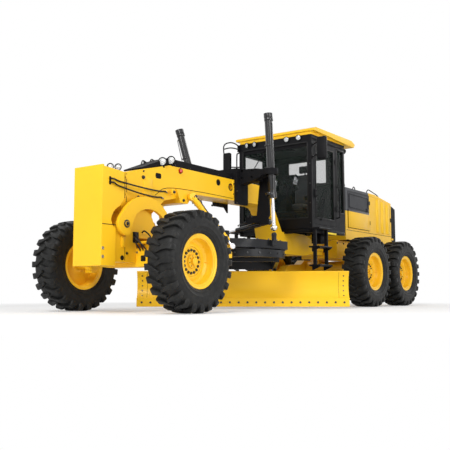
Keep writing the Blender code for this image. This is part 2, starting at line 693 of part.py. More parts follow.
# ---------------------------------------------------------------- blade gear
def make_draft_frame():
    """The A-shaped frame from the ball at the nose to the circle, swung a little to the left."""
    joint = pivot("draft_axis", (BALL_X, 0, BALL_Z))
    reach = DRAFT_REACH
    low, top = DRAFT_LOW_Z, DRAFT_TOP_Z
    rail_in, rail_out = DRAFT_RAIL_IN, DRAFT_RAIL_OUT
    outline = [
        (-0.98, 0.075),
        (-1.40, 0.58),
        (-1.74, rail_out),
        (-reach - 0.42, rail_out),
        (-reach - 0.55, rail_out - 0.12),
    ]
    full = outline + [(u, -v) for u, v in reversed(outline)]
    frame = plate(full, low, top, "XY")
    front_opening = plate([(-1.14, 0.0), (-1.43, 0.36), (-1.43, -0.36)], low - 1, top + 1, "XY")
    back_opening = box((-reach - 0.42, -rail_in, low - 1), (-reach + 0.32, rail_in, top + 1))
    tongue = plate(
        [
            (-0.10, BALL_Z - 0.05),
            (-0.10, BALL_Z + 0.05),
            (-0.95, BALL_Z + 0.03),
            (-1.22, top - 0.005),
            (-1.10, BALL_Z - 0.11),
        ],
        -0.07,
        0.07,
    )
    neck = rod((-0.05, 0, BALL_Z), (-0.20, 0, BALL_Z), 0.05, 0.055)
    head = ball((BALL_X, 0, BALL_Z), BALL_RADIUS, steps=24)
    drive_u = -reach + 0.48
    drive = rod((drive_u, 0, low + 0.02), (drive_u, 0, top + 0.16), 0.14)
    pads = []
    for degrees in (60, 120, 240, 300):
        u = -reach + (CIRCLE_RADIUS - 0.08) * math.cos(math.radians(degrees))
        v = (CIRCLE_RADIUS - 0.08) * math.sin(math.radians(degrees))
        pads.append(box((u - 0.07, v - 0.06, CIRCLE_TOP_Z + 0.0005), (u + 0.07, v + 0.06, low + 0.02)))
    posts = []
    for side in (1, -1):
        v = LIFT_EYE_Y * side
        inner = (rail_out - 0.05) * side
        near, far = min(v, inner) - 0.02, max(v, inner) + 0.02
        posts.append(box((-LIFT_EYE_BACK - 0.07, near, 1.03), (-LIFT_EYE_BACK + 0.07, far, 1.11)))
        posts.append(rod((-LIFT_EYE_BACK, v, 1.08), (-LIFT_EYE_BACK, v, 1.19), 0.04))
        posts.append(ball((-LIFT_EYE_BACK, v, LIFT_STUD_Z), LIFT_STUD_RADIUS))
    forms = [tongue, neck, drive, *pads, *posts]
    swing = Matrix.Translation((BALL_X, 0, 0)) @ Matrix.Rotation(FRAME_SWING, 4, "Z")
    for form in [frame, front_opening, back_opening, *forms]:
        form.data.transform(swing)
    lug_y = SIDE_SHIFT_END[0]
    lug = box((SIDE_SHIFT_X + 0.036, lug_y - 0.05, top - 0.02), (SIDE_SHIFT_X + 0.075, lug_y + 0.03, 1.31))
    frame = fuse(cut(frame, front_opening, back_opening), *forms, lug, head)
    piece("draft_frame", frame, "dark_grey", joint)
    return joint


def make_blade_gear(draft):
    turn = Matrix.Translation((CIRCLE_X, FRAME_SHIFT, 0)) @ Matrix.Rotation(BLADE_ANGLE, 4, "Z")
    circle_at = (CIRCLE_X, FRAME_SHIFT, CIRCLE_TOP_Z)
    circle_joint = pivot("circle_axis", centre_in(draft, circle_at), draft, BLADE_ANGLE)

    ring = rod((0, 0, CIRCLE_LOW_Z), (0, 0, CIRCLE_TOP_Z), CIRCLE_RADIUS, steps=36)
    hole = rod((0, 0, 0), (0, 0, 2), CIRCLE_INNER, steps=36)
    edge_x = -BLADE_SET_BACK
    pin_x = edge_x - 0.26
    arm_v = 0.62
    arms = []
    for side in (1, -1):
        outline = [
            (0.30, CIRCLE_LOW_Z + 0.03),
            (0.30, CIRCLE_LOW_Z - 0.07),
            (pin_x + 0.16, 0.66),
            (pin_x + 0.07, 0.52),
            *arc((pin_x, PITCH_PIN_Z), 0.052, 0, -180, 6),
            (pin_x - 0.10, 0.60),
            (pin_x - 0.10, CIRCLE_LOW_Z + 0.03),
        ]
        arms.append(plate(outline, side * arm_v - 0.03, side * arm_v + 0.03))
    tie = box((pin_x - 0.09, -arm_v, 0.68), (pin_x - 0.03, arm_v, CIRCLE_LOW_Z + 0.02))
    tie_front = box((0.20, -arm_v, CIRCLE_LOW_Z - 0.06), (0.28, arm_v, CIRCLE_LOW_Z + 0.02))
    pins = [
        rod((pin_x, side * 0.53, PITCH_PIN_Z), (pin_x, side * arm_v, PITCH_PIN_Z), 0.025) for side in (1, -1)
    ]
    forms = [ring, hole, *arms, tie, tie_front, *pins]
    for form in forms:
        form.data.transform(turn)
    circle = fuse(cut(ring, hole), *arms, tie, tie_front, *pins)
    piece("circle", circle, "dark_grey", circle_joint)

    pitch_at = turn @ Vector((pin_x, BLADE_OFFSET, PITCH_PIN_Z))
    pitch_joint = pivot("blade_pitch_axis", centre_in(circle_joint, pitch_at), circle_joint)
    rail_x = edge_x - 0.125
    cheek = [
        *arc((pin_x, PITCH_PIN_Z), 0.05, 100, 260, 5),
        (rail_x - 0.004, 0.192),
        (rail_x - 0.004, 0.495),
        (rail_x - 0.04, 0.495),
    ]
    rails = [box((rail_x - 0.03, -0.582, z), (rail_x, 0.582, z + 0.05)) for z in (0.44, 0.20)]
    cheeks = [plate(cheek, side * 0.555 - 0.022, side * 0.555 + 0.022) for side in (1, -1)]
    bores = [
        pin_hole((pin_x, side * 0.5, PITCH_PIN_Z), (pin_x, side * 0.9, PITCH_PIN_Z), 0.025)
        for side in (1, -1)
    ]
    for form in (*rails, *cheeks, *bores):
        form.data.transform(turn)
    carriage = cut(fuse(rails[0], cheeks[0], cheeks[1], rails[1]), *bores)
    piece("blade_carriage", carriage, "black", pitch_joint)

    shift_joint = pivot("blade_shift_axis", (0, 0, 0), pitch_joint)
    low, high = BLADE_LOW_Z + 0.13, BLADE_LOW_Z + BLADE_HEIGHT
    half_chord = (high - low) / 2
    sag = 0.085
    radius = (half_chord**2 + sag**2) / (2 * sag)
    middle = (edge_x + radius - sag, (low + high) / 2)
    spread = math.degrees(math.asin(half_chord / radius))
    front = arc(middle, radius, 180 + spread, 180 - spread, 8)
    back = arc(middle, radius + BLADE_SHEET, 180 - spread, 180 + spread, 8)
    half = BLADE_LENGTH / 2
    board = plate(front + back, BLADE_OFFSET - half, BLADE_OFFSET + half)
    ways = [
        box((edge_x - 0.1245, -1.35, 0.437), (edge_x - sag - 0.004, 1.35, 0.491)),
        box((edge_x - 0.1245, -1.35, 0.197), (edge_x - 0.056, 1.35, 0.251)),
    ]
    edge = plate(
        [
            (edge_x + 0.022, BLADE_LOW_Z),
            (edge_x + 0.016, BLADE_LOW_Z + 0.15),
            (edge_x + SEAT_GAP, BLADE_LOW_Z + 0.15),
            (edge_x + SEAT_GAP, BLADE_LOW_Z + 0.12),
            (edge_x + 0.006, BLADE_LOW_Z),
        ],
        BLADE_OFFSET - half,
        BLADE_OFFSET + half,
    )
    for form in (board, *ways, edge):
        form.data.transform(turn)
    piece("moldboard", fuse(board, *ways), "yellow", shift_joint)
    piece("cutting_edge", edge, "yellow", shift_joint)


def lift_eye(side):
    """The middle of the rod's ball above the draft frame's stud."""
    turn = Matrix.Translation((BALL_X, 0, 0)) @ Matrix.Rotation(FRAME_SWING, 4, "Z")
    height = LIFT_STUD_Z + LIFT_STUD_RADIUS + 2 * RUN_GAP + LIFT_BALL_RADIUS
    return turn @ Vector((-LIFT_EYE_BACK, LIFT_EYE_Y * side, height))


def make_lift_cylinder(side_name, side):
    collar = Vector((SADDLE_X, side * LIFT_COLLAR_Y, LIFT_COLLAR_Z))
    eye = lift_eye(side)
    run = (eye - collar).normalized()
    swing = pivot(f"lift_{side_name}_axis", collar)
    top = collar - run * 0.95
    low = collar + run * 0.44
    barrel = rod(top, low, LIFT_BARREL_RADIUS)
    caps = [rod(top - run * 0.02, top + run * 0.05, 0.075), rod(low - run * 0.10, low, 0.075)]
    bore = rod(low - run * 1.25, low + run * 0.1, LIFT_ROD_RADIUS + 0.0005, steps=12)
    trunnions = rod(collar - Vector((0.0823, 0, 0)), collar + Vector((0.0823, 0, 0)), 0.025)
    barrel = cut(fuse(barrel, *caps, trunnions), bore)
    piece(f"lift_barrel_{side_name}", barrel, "black", swing)
    slide = pivot(f"lift_{side_name}_slide", (0, 0, 0), swing)
    bar = rod(low - run * 0.70, eye, LIFT_ROD_RADIUS, steps=12)
    piece(f"lift_rod_{side_name}", fuse(bar, ball(eye, LIFT_BALL_RADIUS)), "steel", slide)


def make_side_shift_cylinder():
    start = Vector((SIDE_SHIFT_X, *SIDE_SHIFT_START))
    end = Vector((SIDE_SHIFT_X, *SIDE_SHIFT_END))
    run = (end - start).normalized()
    swing = pivot("side_shift_axis", start)
    body_end = start + run * 0.66
    barrel = rod(start + run * 0.03, body_end, 0.045)
    eye = rod(start - Vector((0.035, 0, 0)), start + Vector((0.0515, 0, 0)), 0.05)
    bore = rod(start + run * 0.10, body_end + run * 0.1, 0.0255, steps=12)
    piece("side_shift_barrel", cut(fuse(barrel, eye), bore), "black", swing)
    slide = pivot("side_shift_slide", (0, 0, 0), swing)
    bar = rod(start + run * 0.22, end, 0.025, steps=12)
    eye = rod(end - Vector((0.03, 0, 0)), end + Vector((0.03, 0, 0)), 0.045)
    piece("side_shift_rod", fuse(bar, eye), "steel", slide)


# ---------------------------------------------------------------- scarifier
def scarifier_cylinder_line(side):
    """Top pin, rod eye and outward pin direction of a scarifier cylinder.

    The pin is square to the plane in which the rod's eye swings as the scarifier drops.
    """
    top = Vector((FRONT_AXLE_X - 0.98, side * 0.335, 1.70))
    eye = Vector((FRONT_AXLE_X - 1.55, side * 0.655, 0.98))
    pivot_at = Vector((FRONT_AXLE_X - SCARIFIER_PIN_BACK, eye.y, SCARIFIER_PIN_Z))
    lowered = pivot_at + Matrix.Rotation(-SCARIFIER_DROP, 3, "Y") @ (eye - pivot_at)
    across = (eye - top).cross(lowered - top).normalized()
    return top, eye, across * math.copysign(1, across.y * side)


def make_scarifier():
    x = FRONT_AXLE_X
    pin = (x - SCARIFIER_PIN_BACK, SCARIFIER_PIN_Z)
    joint = pivot("scarifier_axis", (pin[0], 0, pin[1]))
    low, top = SCARIFIER_LOW_Z, SCARIFIER_TOP_Z
    arm_outline = [
        *arc(pin, 0.155, -110, 30, 6),
        *arc((x + 0.0, 1.05), 0.55, 40, 150, 9),
        (x - 1.33, top + 0.02),
        (x - 1.33, low + 0.02),
        *arc((x - 0.06, 1.00), 0.43, 150, 50, 7),
        (x + 0.27, 1.20),
    ]
    arm = plate(arm_outline, NOSE_HALF + 0.035, NOSE_HALF + 0.085)
    bore = pin_hole((pin[0], 0.1, pin[1]), (pin[0], 0.6, pin[1]), 0.035)
    bar_half, bar_x, bar_end_x = 0.62, x - 1.12, x - 1.52
    bar_outline = [
        (bar_x + 0.08, 0.0),
        (bar_end_x + 0.08, bar_half),
        (bar_end_x - 0.08, bar_half),
        (bar_x - 0.08, 0.0),
        (bar_end_x - 0.08, -bar_half),
        (bar_end_x + 0.08, -bar_half),
    ]
    bar = plate(bar_outline, low, top, "XY")
    lug = plate(
        [
            (bar_end_x + 0.06, low + 0.02),
            (bar_end_x + 0.06, 1.0),
            (bar_end_x - 0.07, 1.0),
            (bar_end_x - 0.08, low + 0.02),
        ],
        0.56,
        0.60,
    )
    shanks = []
    for index in range(-4, 5):
        y = index * 0.14
        centre = bar_x + (bar_end_x - bar_x) * abs(y) / bar_half
        shanks.append(
            plate(
                [
                    (centre + 0.03, low + 0.01),
                    (centre - 0.03, low + 0.01),
                    (centre - 0.03, low - 0.06),
                    (centre + 0.06, low - 0.145),
                    (centre + 0.03, low - 0.06),
                ],
                y - 0.015,
                y + 0.015,
            )
        )
    arms = both_sides(arm, lug)
    bores = both_sides(bore)
    piece("scarifier", cut(fuse(bar, *arms, *shanks), *bores), "yellow", joint)
    for side_name, side in SIDES:
        make_scarifier_cylinder(side_name, side)


def make_scarifier_cylinder(side_name, side):
    top, eye, outward = scarifier_cylinder_line(side)
    run = (eye - top).normalized()
    swing = pivot(f"scarifier_{side_name}_swing", top)
    low = top + run * 0.86
    barrel = rod(top, low, 0.05, steps=12)
    head = rod(top - outward * 0.03, top + outward * 0.03, 0.06)
    bore = rod(low - run * 0.60, low + run * 0.1, 0.0255, steps=12)
    eye_hole = pin_hole(top - outward * 0.1, top + outward * 0.1, 0.02)
    piece(f"scarifier_barrel_{side_name}", cut(fuse(barrel, head), bore, eye_hole), "yellow", swing)
    slide = pivot(f"scarifier_{side_name}_slide", (0, 0, 0), swing)
    bar = rod(low - run * 0.55, eye, 0.025, steps=12)
    eye_form = rod(eye - outward * 0.025, eye + outward * 0.025, 0.045, steps=12)
    piece(f"scarifier_rod_{side_name}", fuse(bar, eye_form), "steel", slide)


# ---------------------------------------------------------------- cab
def hinge_forms(x, half, heights, reach):
    """Two knuckles and two straps of a left door that turns on the upright line (x, half + HINGE_OUT)."""
    y = half + HINGE_OUT
    knuckles = [rod((x, y, z - reach), (x, y, z + reach), 0.011, steps=8) for z in heights]
    strap = reach - 0.01
    straps = [
        box((x + SEAT_GAP, half - 0.004, z - strap), (x + 0.05, half + 0.015, z + strap)) for z in heights
    ]
    return knuckles, straps


def make_cab():
    front, rear, half, wall = CAB_FRONT_X, CAB_REAR_X, CAB_HALF, CAB_WALL
    body = box((rear, -half, CAB_LOW_Z), (front, half, CAB_TOP_Z))
    inside = box((rear + wall, -half + wall, CAB_LOW_Z + 0.08), (front - wall, half - wall, CAB_TOP_Z + 1))
    door_rear = front - wall - DOOR_BACK
    openings = [
        box((front - 0.5, -half + 0.09, 1.62), (front + 0.5, half - 0.09, 3.00)),
        box((rear - 0.5, -half + 0.12, 2.05), (rear + 0.5, half - 0.12, 3.00)),
        box((door_rear, -2, CAB_LOW_Z + 0.08), (front - wall, 2, 3.04)),
        box((rear + wall, -2, 1.80), (door_rear - 0.06, 2, 3.00)),
    ]
    mounts = [
        box((x - 0.08, y - 0.08, UNDERCAB_TOP_Z + SEAT_GAP), (x + 0.08, y + 0.08, CAB_LOW_Z + 0.02))
        for x in (front - 0.25, rear + 0.35)
        for y in (-0.1, 0.1)
    ]
    steps = []
    for y in (0.86, -0.86):
        for x in (front + 0.02, front - 0.40):
            steps.append(box((x - 0.02, y - 0.03, 0.72), (x + 0.02, y + 0.03, 1.415)))
        for z in (0.74, 1.07, 1.40):
            steps.append(box((front - 0.43, y - 0.11, z), (front + 0.05, y + 0.11, z + 0.03)))
    cab = cut(body, inside, *openings)
    piece("cab_body", fuse(cab, *mounts, *steps), "black")

    low = CAB_TOP_Z + SEAT_GAP
    brim_front, brim_rear = front + ROOF_AHEAD, rear - ROOF_BEHIND
    brim_outline = [
        (brim_front, ROOF_TOP_Z - 0.07),
        (brim_front, ROOF_TOP_Z - 0.03),
        (brim_front - 0.08, ROOF_TOP_Z),
        (brim_rear + 0.15, ROOF_TOP_Z),
        (brim_rear, ROOF_TOP_Z - 0.06),
        (brim_rear + 0.06, low),
    ]
    brim = plate(brim_outline, -half - 0.07, half + 0.07)
    crown = box((rear + 0.01, -half + 0.01, low), (front - 0.01, half - 0.01, ROOF_TOP_Z - 0.02))
    piece("cab_roof", fuse(brim, crown), "yellow")
    make_mirrors()

    gap = SEAT_GAP
    panes = (
        ("windscreen", front, half - 0.09, 1.62, 3.00),
        ("rear_window", rear + wall, half - 0.12, 2.05, 3.00),
    )
    for name, x, reach, low, high in panes:
        pane = box((x - 0.04, -reach + gap, low + gap), (x - 0.04 + GLASS, reach - gap, high - gap))
        piece(name, pane, "glass")

    for side_name, side in SIDES:
        hinge = pivot(f"cab_door_{side_name}_axis", (door_rear, side * (half + HINGE_OUT), 1.5))
        clear = RUN_GAP
        low, high = CAB_LOW_Z + 0.08 + clear, 3.04 - clear
        y_in, y_out = half - 0.05, half
        door = box((door_rear + clear, y_in, low), (front - wall - clear, y_out, high))
        pane_hole = box((door_rear + 0.09, 0, low + 0.12), (front - wall - 0.09, 2, high - 0.10))
        knuckles, straps = hinge_forms(door_rear, half, (1.85, 2.75), 0.05)
        glass = box(
            (door_rear + 0.09 + gap, half - 0.03, low + 0.12 + gap),
            (front - wall - 0.09 - gap, half - 0.03 + GLASS, high - 0.10 - gap),
        )
        forms = [door, pane_hole, *knuckles, *straps, glass]
        if side < 0:
            forms = [mirrored(form) for form in forms]
        door, pane_hole, hinge_a, hinge_b, strap_a, strap_b, glass = forms
        door = fuse(cut(door, pane_hole), strap_a, strap_b, hinge_a, hinge_b)
        piece(f"cab_door_{side_name}", door, "black", hinge)
        piece(f"door_glass_{side_name}", glass, "glass", hinge)


def make_mirrors():
    """A short-armed mirror at the left pillar and one that hangs from a double tube at the right."""
    arm, side = 0.014, CAB_HALF + SEAT_GAP
    pillar, elbow = CAB_FRONT_X - 0.03, side + 0.03
    left_arms = [
        tube([(pillar, side, z), (pillar, elbow, z), (-0.02, 1.00, z), (-0.02, 1.03, z)], arm)
        for z in (2.74, 2.95)
    ]
    piece("mirror_left", fuse(box((-0.05, 1.00, 2.64), (0.0, 1.17, 3.03)), *left_arms), "black")
    loop = [
        (pillar, -side, 3.07),
        (pillar, -elbow, 3.07),
        (-0.04, -1.06, 3.09),
        (-0.03, -1.12, 3.05),
        (-0.025, -1.13, 2.84),
    ]
    brace = tube([(pillar, -side, 2.98), (pillar, -elbow, 2.98), (-0.03, -1.13, 2.99)], arm)
    head = box((-0.05, -1.19, 2.46), (0.0, -1.03, 2.86))
    piece("mirror_right", fuse(head, tube(loop, arm), brace), "black")


def make_cab_interior():
    floor = CAB_LOW_Z + 0.08 + SEAT_GAP
    x = CAB_REAR_X + 0.42
    base = box((x - 0.18, -0.20, floor), (x + 0.18, 0.20, floor + 0.36))
    cushion = box((x - 0.26, -0.26, floor + 0.34), (x + 0.26, 0.26, floor + 0.48))
    back = plate(
        [
            (x - 0.26, floor + 0.40),
            (x - 0.14, floor + 0.40),
            (x - 0.22, floor + 1.15),
            (x - 0.34, floor + 1.15),
        ],
        -0.24,
        0.24,
    )
    piece("operator_seat", fuse(base, cushion, back), "black")
    front = CAB_FRONT_X - CAB_WALL - 0.10
    column = plate(
        [
            (front - 0.30, floor),
            (front - 0.05, floor),
            (front - 0.16, floor + 0.80),
            (front - 0.30, floor + 0.78),
        ],
        -0.10,
        0.10,
    )
    turns = [math.tau * step / 16 for step in range(16)]
    ring = tube([(0.19 * math.cos(turn), 0.19 * math.sin(turn), 0) for turn in turns], 0.014, cyclic=True)
    spoke = box((-0.18, -0.02, -0.012), (0.18, 0.02, 0.012))
    for form in (ring, spoke):
        moved(form, (front - 0.30, 0, floor + 0.82), math.radians(-30), "Y")
    shaft = rod((front - 0.22, 0, floor + 0.70), (front - 0.30, 0, floor + 0.83), 0.03)
    piece("control_console", fuse(column, shaft, spoke, ring), "black")


# ---------------------------------------------------------------- rear frame
def make_rear_frame(rear):
    rail_end = TAIL_X + 0.30
    rail_in, rail_out = RAIL_HALF - RAIL_WIDTH / 2, RAIL_HALF + RAIL_WIDTH / 2
    rails = both_sides(box((rail_end, rail_in, RAIL_LOW_Z), (HOOD_FRONT_X + 0.01, rail_out, RAIL_TOP_Z)))
    front_plate = box((HOOD_FRONT_X - 0.03, -0.41, 0.96), (HOOD_FRONT_X + 0.03, 0.41, RAIL_TOP_Z - 0.01))
    lug_end = rod((PIVOT_X, 0, 1.098), (PIVOT_X, 0, 1.202), 0.16)
    lug = box((HOOD_FRONT_X - 0.02, -0.16, 1.098), (PIVOT_X, 0.16, 1.202))
    bore = pin_hole((PIVOT_X, 0, 0.5), (PIVOT_X, 0, 2), 0.06)
    cross = [box((x, -RAIL_HALF, 1.0), (x + 0.10, RAIL_HALF, 1.20)) for x in (TANDEM_X - 0.05, TAIL_X + 0.45)]
    tail = box((TAIL_X, -0.62, 0.92), (TAIL_X + 0.32, 0.62, RAIL_TOP_Z))
    frame = fuse(rails[0], rails[1], front_plate, lug, lug_end, *cross, tail)
    piece("rear_frame", cut(frame, bore), "yellow", rear)


def make_tandem_axle(rear):
    gap = SEAT_GAP
    housing = rod((TANDEM_X, -0.70, 0.80), (TANDEM_X, 0.70, 0.80), 0.13)
    pad_in, pad_out = RAIL_HALF - 0.06, RAIL_HALF + 0.06
    pads = both_sides(box((TANDEM_X - 0.16, pad_in, 0.85), (TANDEM_X + 0.16, pad_out, RAIL_LOW_Z - gap)))
    reach = TANDEM_SPACING / 2
    centre_z = TYRE_RADIUS
    outline = [
        *arc((TANDEM_X + reach, centre_z), 0.17, 90, -90, 6),
        *arc((TANDEM_X - reach, centre_z), 0.17, -90, -270, 6),
        (TANDEM_X - 0.30, centre_z + 0.20),
        (TANDEM_X - 0.16, centre_z + 0.29),
        (TANDEM_X + 0.16, centre_z + 0.29),
        (TANDEM_X + 0.30, centre_z + 0.20),
    ]
    case = plate(outline, CASE_Y - CASE_HALF, CASE_Y + CASE_HALF)
    spindles, flanges = [], []
    for offset in (reach, -reach):
        x = TANDEM_X + offset
        spindles.append(rod((x, CASE_Y, centre_z), (x, WHEEL_Y - 0.001, centre_z), SPINDLE_RADIUS))
        flanges.append(rod((x, CASE_Y, centre_z), (x, WHEEL_Y - 0.066, centre_z), 0.13, 0.10))
    axle = fuse(housing, *pads, *both_sides(case, *spindles, *flanges))
    piece("tandem_axle", axle, "yellow", rear)
    for side_name, side in SIDES:
        for place, offset in (("front", reach), ("rear", -reach)):
            centre = (TANDEM_X + offset, side * WHEEL_Y, TYRE_RADIUS)
            make_wheel(f"tandem_{place}_{side_name}", centre, side, rear)


def make_hood(rear):
    front, back, half, sheet = HOOD_FRONT_X, HOOD_REAR_X, HOOD_HALF, HOOD_SHEET
    slope_x = front - HOOD_LEVEL
    outline = [
        (front, HOOD_LOW_Z),
        (front, HOOD_TOP_Z),
        (slope_x, HOOD_TOP_Z),
        (back, HOOD_TOP_Z - HOOD_FALL),
        (back, HOOD_LOW_Z),
    ]
    shell = plate(outline, -half, half)
    inner = plate(
        [
            (front - sheet, HOOD_LOW_Z - 1),
            (front - sheet, HOOD_TOP_Z - sheet),
            (slope_x, HOOD_TOP_Z - sheet),
            (back + sheet, HOOD_TOP_Z - HOOD_FALL - sheet),
            (back + sheet, HOOD_LOW_Z - 1),
        ],
        -half + sheet,
        half - sheet,
    )
    door_front, door_rear = front - 0.10, front - 1.12
    low, high = 1.58, 2.34
    opening = box((door_rear, -2, low), (door_front, 2, high))
    rear_opening = box((back - 1, -0.46, 1.46), (back + 0.5, 0.46, 2.16))
    floor = box((back + 0.005, -half + 0.01, RAIL_TOP_Z + SEAT_GAP), (back + 0.06, half - 0.01, 1.46))
    floor_front = box((front - 0.06, -half + 0.01, RAIL_TOP_Z + SEAT_GAP), (front - 0.005, half - 0.01, 1.46))
    stack = rod((front - 0.45, 0.28, HOOD_TOP_Z - 0.02), (front - 0.45, 0.28, HOOD_TOP_Z + 0.42), 0.07)
    hood = fuse(cut(shell, inner, opening, rear_opening), floor, floor_front, stack)
    piece("hood", hood, "yellow", rear)

    engine = box((TANDEM_X - 0.95, -0.30, RAIL_TOP_Z + 0.002), (TANDEM_X + 0.35, 0.30, 2.05))
    feet_low, feet_high = RAIL_TOP_Z + SEAT_GAP, RAIL_TOP_Z + 0.10
    feet = both_sides(box((TANDEM_X - 0.80, 0.25, feet_low), (TANDEM_X + 0.20, 0.36, feet_high)))
    piece("engine", fuse(engine, *feet), "dark_grey", rear)

    grille_outline = [
        (TAIL_X, 1.40),
        (TAIL_X, HOOD_TOP_Z - 0.21),
        (back - SEAT_GAP, HOOD_TOP_Z - HOOD_FALL - 0.02),
        (back - SEAT_GAP, 1.40),
    ]
    grille = plate(grille_outline, -half + 0.03, half - 0.03)
    piece("rear_grille", grille, "black", rear)

    clear = RUN_GAP
    for side_name, side in SIDES:
        hinge_at = (door_rear, side * (half + HINGE_OUT), 2.0)
        hinge = pivot(f"engine_door_{side_name}_axis", centre_in(rear, hinge_at), rear)
        door = box((door_rear + clear, half - sheet, low + clear), (door_front - clear, half, high - clear))
        knuckles, straps = hinge_forms(door_rear, half, (1.75, 2.18), 0.04)
        forms = [door, *knuckles, *straps]
        if side < 0:
            forms = [mirrored(form) for form in forms]
        piece(f"engine_door_{side_name}", fuse(forms[0], *forms[3:], *forms[1:3]), "black", hinge)


# ---------------------------------------------------------------- the machine
clear_scene()
MACHINE = make_collection("motor_grader")
HELPERS = make_collection("cutters")
HELPERS.hide_render = True
make_materials()

make_main_frame()
make_push_block()
make_frame_cover()
make_headlights()
make_front_axle()
left_lean, left_steer = make_front_wheel("left", 1)
make_front_wheel("right", -1)
make_lean_bar(left_lean)
make_tie_rod(left_steer)
make_lift_saddle()
make_blade_gear(make_draft_frame())
for each_name, each_side in SIDES:
    make_lift_cylinder(each_name, each_side)
make_side_shift_cylinder()
make_scarifier()
make_cab()
make_cab_interior()
rear_pivot = pivot("articulation_axis", (PIVOT_X, 0, 1.15))
make_rear_frame(rear_pivot)
make_tandem_axle(rear_pivot)
make_hood(rear_pivot)
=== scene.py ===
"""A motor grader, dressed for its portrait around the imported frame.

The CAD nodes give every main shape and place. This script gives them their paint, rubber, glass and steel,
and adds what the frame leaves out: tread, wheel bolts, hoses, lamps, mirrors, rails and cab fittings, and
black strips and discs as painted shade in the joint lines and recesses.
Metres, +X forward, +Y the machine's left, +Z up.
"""

from __future__ import annotations

import json
import logging
import math
from dataclasses import dataclass, field
from enum import Enum
from typing import Iterable, Sequence

import bmesh
import bpy
from mathutils import Matrix, Vector
from mathutils.bvhtree import BVHTree

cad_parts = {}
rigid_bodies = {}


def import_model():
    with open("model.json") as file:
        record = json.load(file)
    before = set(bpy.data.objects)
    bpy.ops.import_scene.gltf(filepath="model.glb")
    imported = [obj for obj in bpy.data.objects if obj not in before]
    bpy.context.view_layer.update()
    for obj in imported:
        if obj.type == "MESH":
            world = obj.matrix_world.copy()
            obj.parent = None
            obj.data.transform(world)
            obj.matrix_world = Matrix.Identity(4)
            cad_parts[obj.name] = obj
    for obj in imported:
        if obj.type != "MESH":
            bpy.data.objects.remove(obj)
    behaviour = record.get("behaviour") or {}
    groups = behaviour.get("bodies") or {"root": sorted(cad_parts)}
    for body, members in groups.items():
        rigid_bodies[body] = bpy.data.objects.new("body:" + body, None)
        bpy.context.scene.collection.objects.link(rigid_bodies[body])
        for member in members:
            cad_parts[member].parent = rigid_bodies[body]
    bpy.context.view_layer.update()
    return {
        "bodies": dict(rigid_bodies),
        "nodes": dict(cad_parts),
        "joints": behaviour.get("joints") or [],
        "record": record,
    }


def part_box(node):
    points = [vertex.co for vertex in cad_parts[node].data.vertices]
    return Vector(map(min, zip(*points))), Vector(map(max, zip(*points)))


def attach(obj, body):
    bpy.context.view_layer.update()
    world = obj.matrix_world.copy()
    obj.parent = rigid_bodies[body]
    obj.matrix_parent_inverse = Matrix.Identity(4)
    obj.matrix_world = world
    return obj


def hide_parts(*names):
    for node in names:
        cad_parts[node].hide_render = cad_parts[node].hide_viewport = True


LOG = logging.getLogger("motor_grader")
Point = Sequence[float]
Pair = tuple[float, float]
Colour = tuple[float, float, float]
Socket = bpy.types.NodeSocket
Sources = dict[str | int, object]
Shape = bmesh.types.BMesh
AHEAD, LEFT, UP = (1, 0, 0), (0, 1, 0), (0, 0, 1)
SMOOTH_DEGREES = 34.0


# ------------------------------------------------------------------ finishes
class Graph:
    """The node tree of a material or a world, with short calls to add and join nodes."""

    def __init__(self, owner: bpy.types.Material | bpy.types.World) -> None:
        """Start with only the nodes that a new tree has.

        Args:
            owner: The material or world.
        """
        self.owner = owner
        owner.use_nodes = True
        self.tree = owner.node_tree
        self.place = self.node("TexCoord", {}).outputs["Object"]

    def feed(self, node: bpy.types.Node, sources: Sources) -> None:
        """Give a node's inputs their links and values.

        Args:
            node: The node.
            sources: The output or the value that each input gets.
        """
        for key, source in sources.items():
            if isinstance(source, Socket):
                self.tree.links.new(source, node.inputs[key])
            else:
                node.inputs[key].default_value = source

    def node(self, kind: str, sources: Sources, **settings: object) -> bpy.types.Node:
        """Add a node.

        Args:
            kind: The node's type, without the word that all types share.
            sources: The output or the value that each input gets.
            settings: Its properties.

        Returns:
            The new node.
        """
        made = self.tree.nodes.new(f"ShaderNode{kind}")
        for key, value in settings.items():
            setattr(made, key, value)
        self.feed(made, sources)
        return made

    def noise(self, scale: float, detail: float = 3.0, stretch: Point = (1, 1, 1)) -> Socket:
        """A noise over the object's own coordinates."""
        place = self.node("Mapping", {"Vector": self.place, "Scale": stretch}).outputs["Vector"]
        return self.node("TexNoise", {"Vector": place, "Scale": scale, "Detail": detail}).outputs["Fac"]

    def spread(
        self, source: Socket, low: float, high: float, to_low: float = 0.0, to_high: float = 1.0
    ) -> Socket:
        """Map a value from one range to another, clamped."""
        ranges = {"From Min": low, "From Max": high, "To Min": to_low, "To Max": to_high}
        return self.node("MapRange", {"Value": source, **ranges}).outputs["Result"]

    def blend(self, share: Socket, first: Point | Socket, second: Point) -> Socket:
        """Mix two colours."""
        start = first if isinstance(first, Socket) else (*first, 1)
        return self.node("Mix", {0: share, 6: start, 7: (*second, 1)}, data_type="RGBA").outputs[2]

    def maths(self, operation: str, first: Socket, second: Socket | float) -> Socket:
        """Combine two values."""
        return self.node("Math", {0: first, 1: second}, operation=operation).outputs[0]

    def finish(
        self, sources: Sources, height: Socket | None = None, distance: float = 0.0, strength: float = 1.0
    ) -> bpy.types.Material:
        """Feed the shader and raise the surface.

        Args:
            sources: The output or the value that each of the shader's inputs gets.
            height: The height of the surface, if it has any.
            distance: Metres for a height of one.
            strength: How much of it is used.

        Returns:
            The finished material.
        """
        if height:
            bump = self.node("Bump", {"Distance": distance, "Strength": strength, "Height": height})
            sources = {**sources, "Normal": bump.outputs["Normal"]}
        self.feed(self.tree.nodes["Principled BSDF"], sources)
        return self.owner


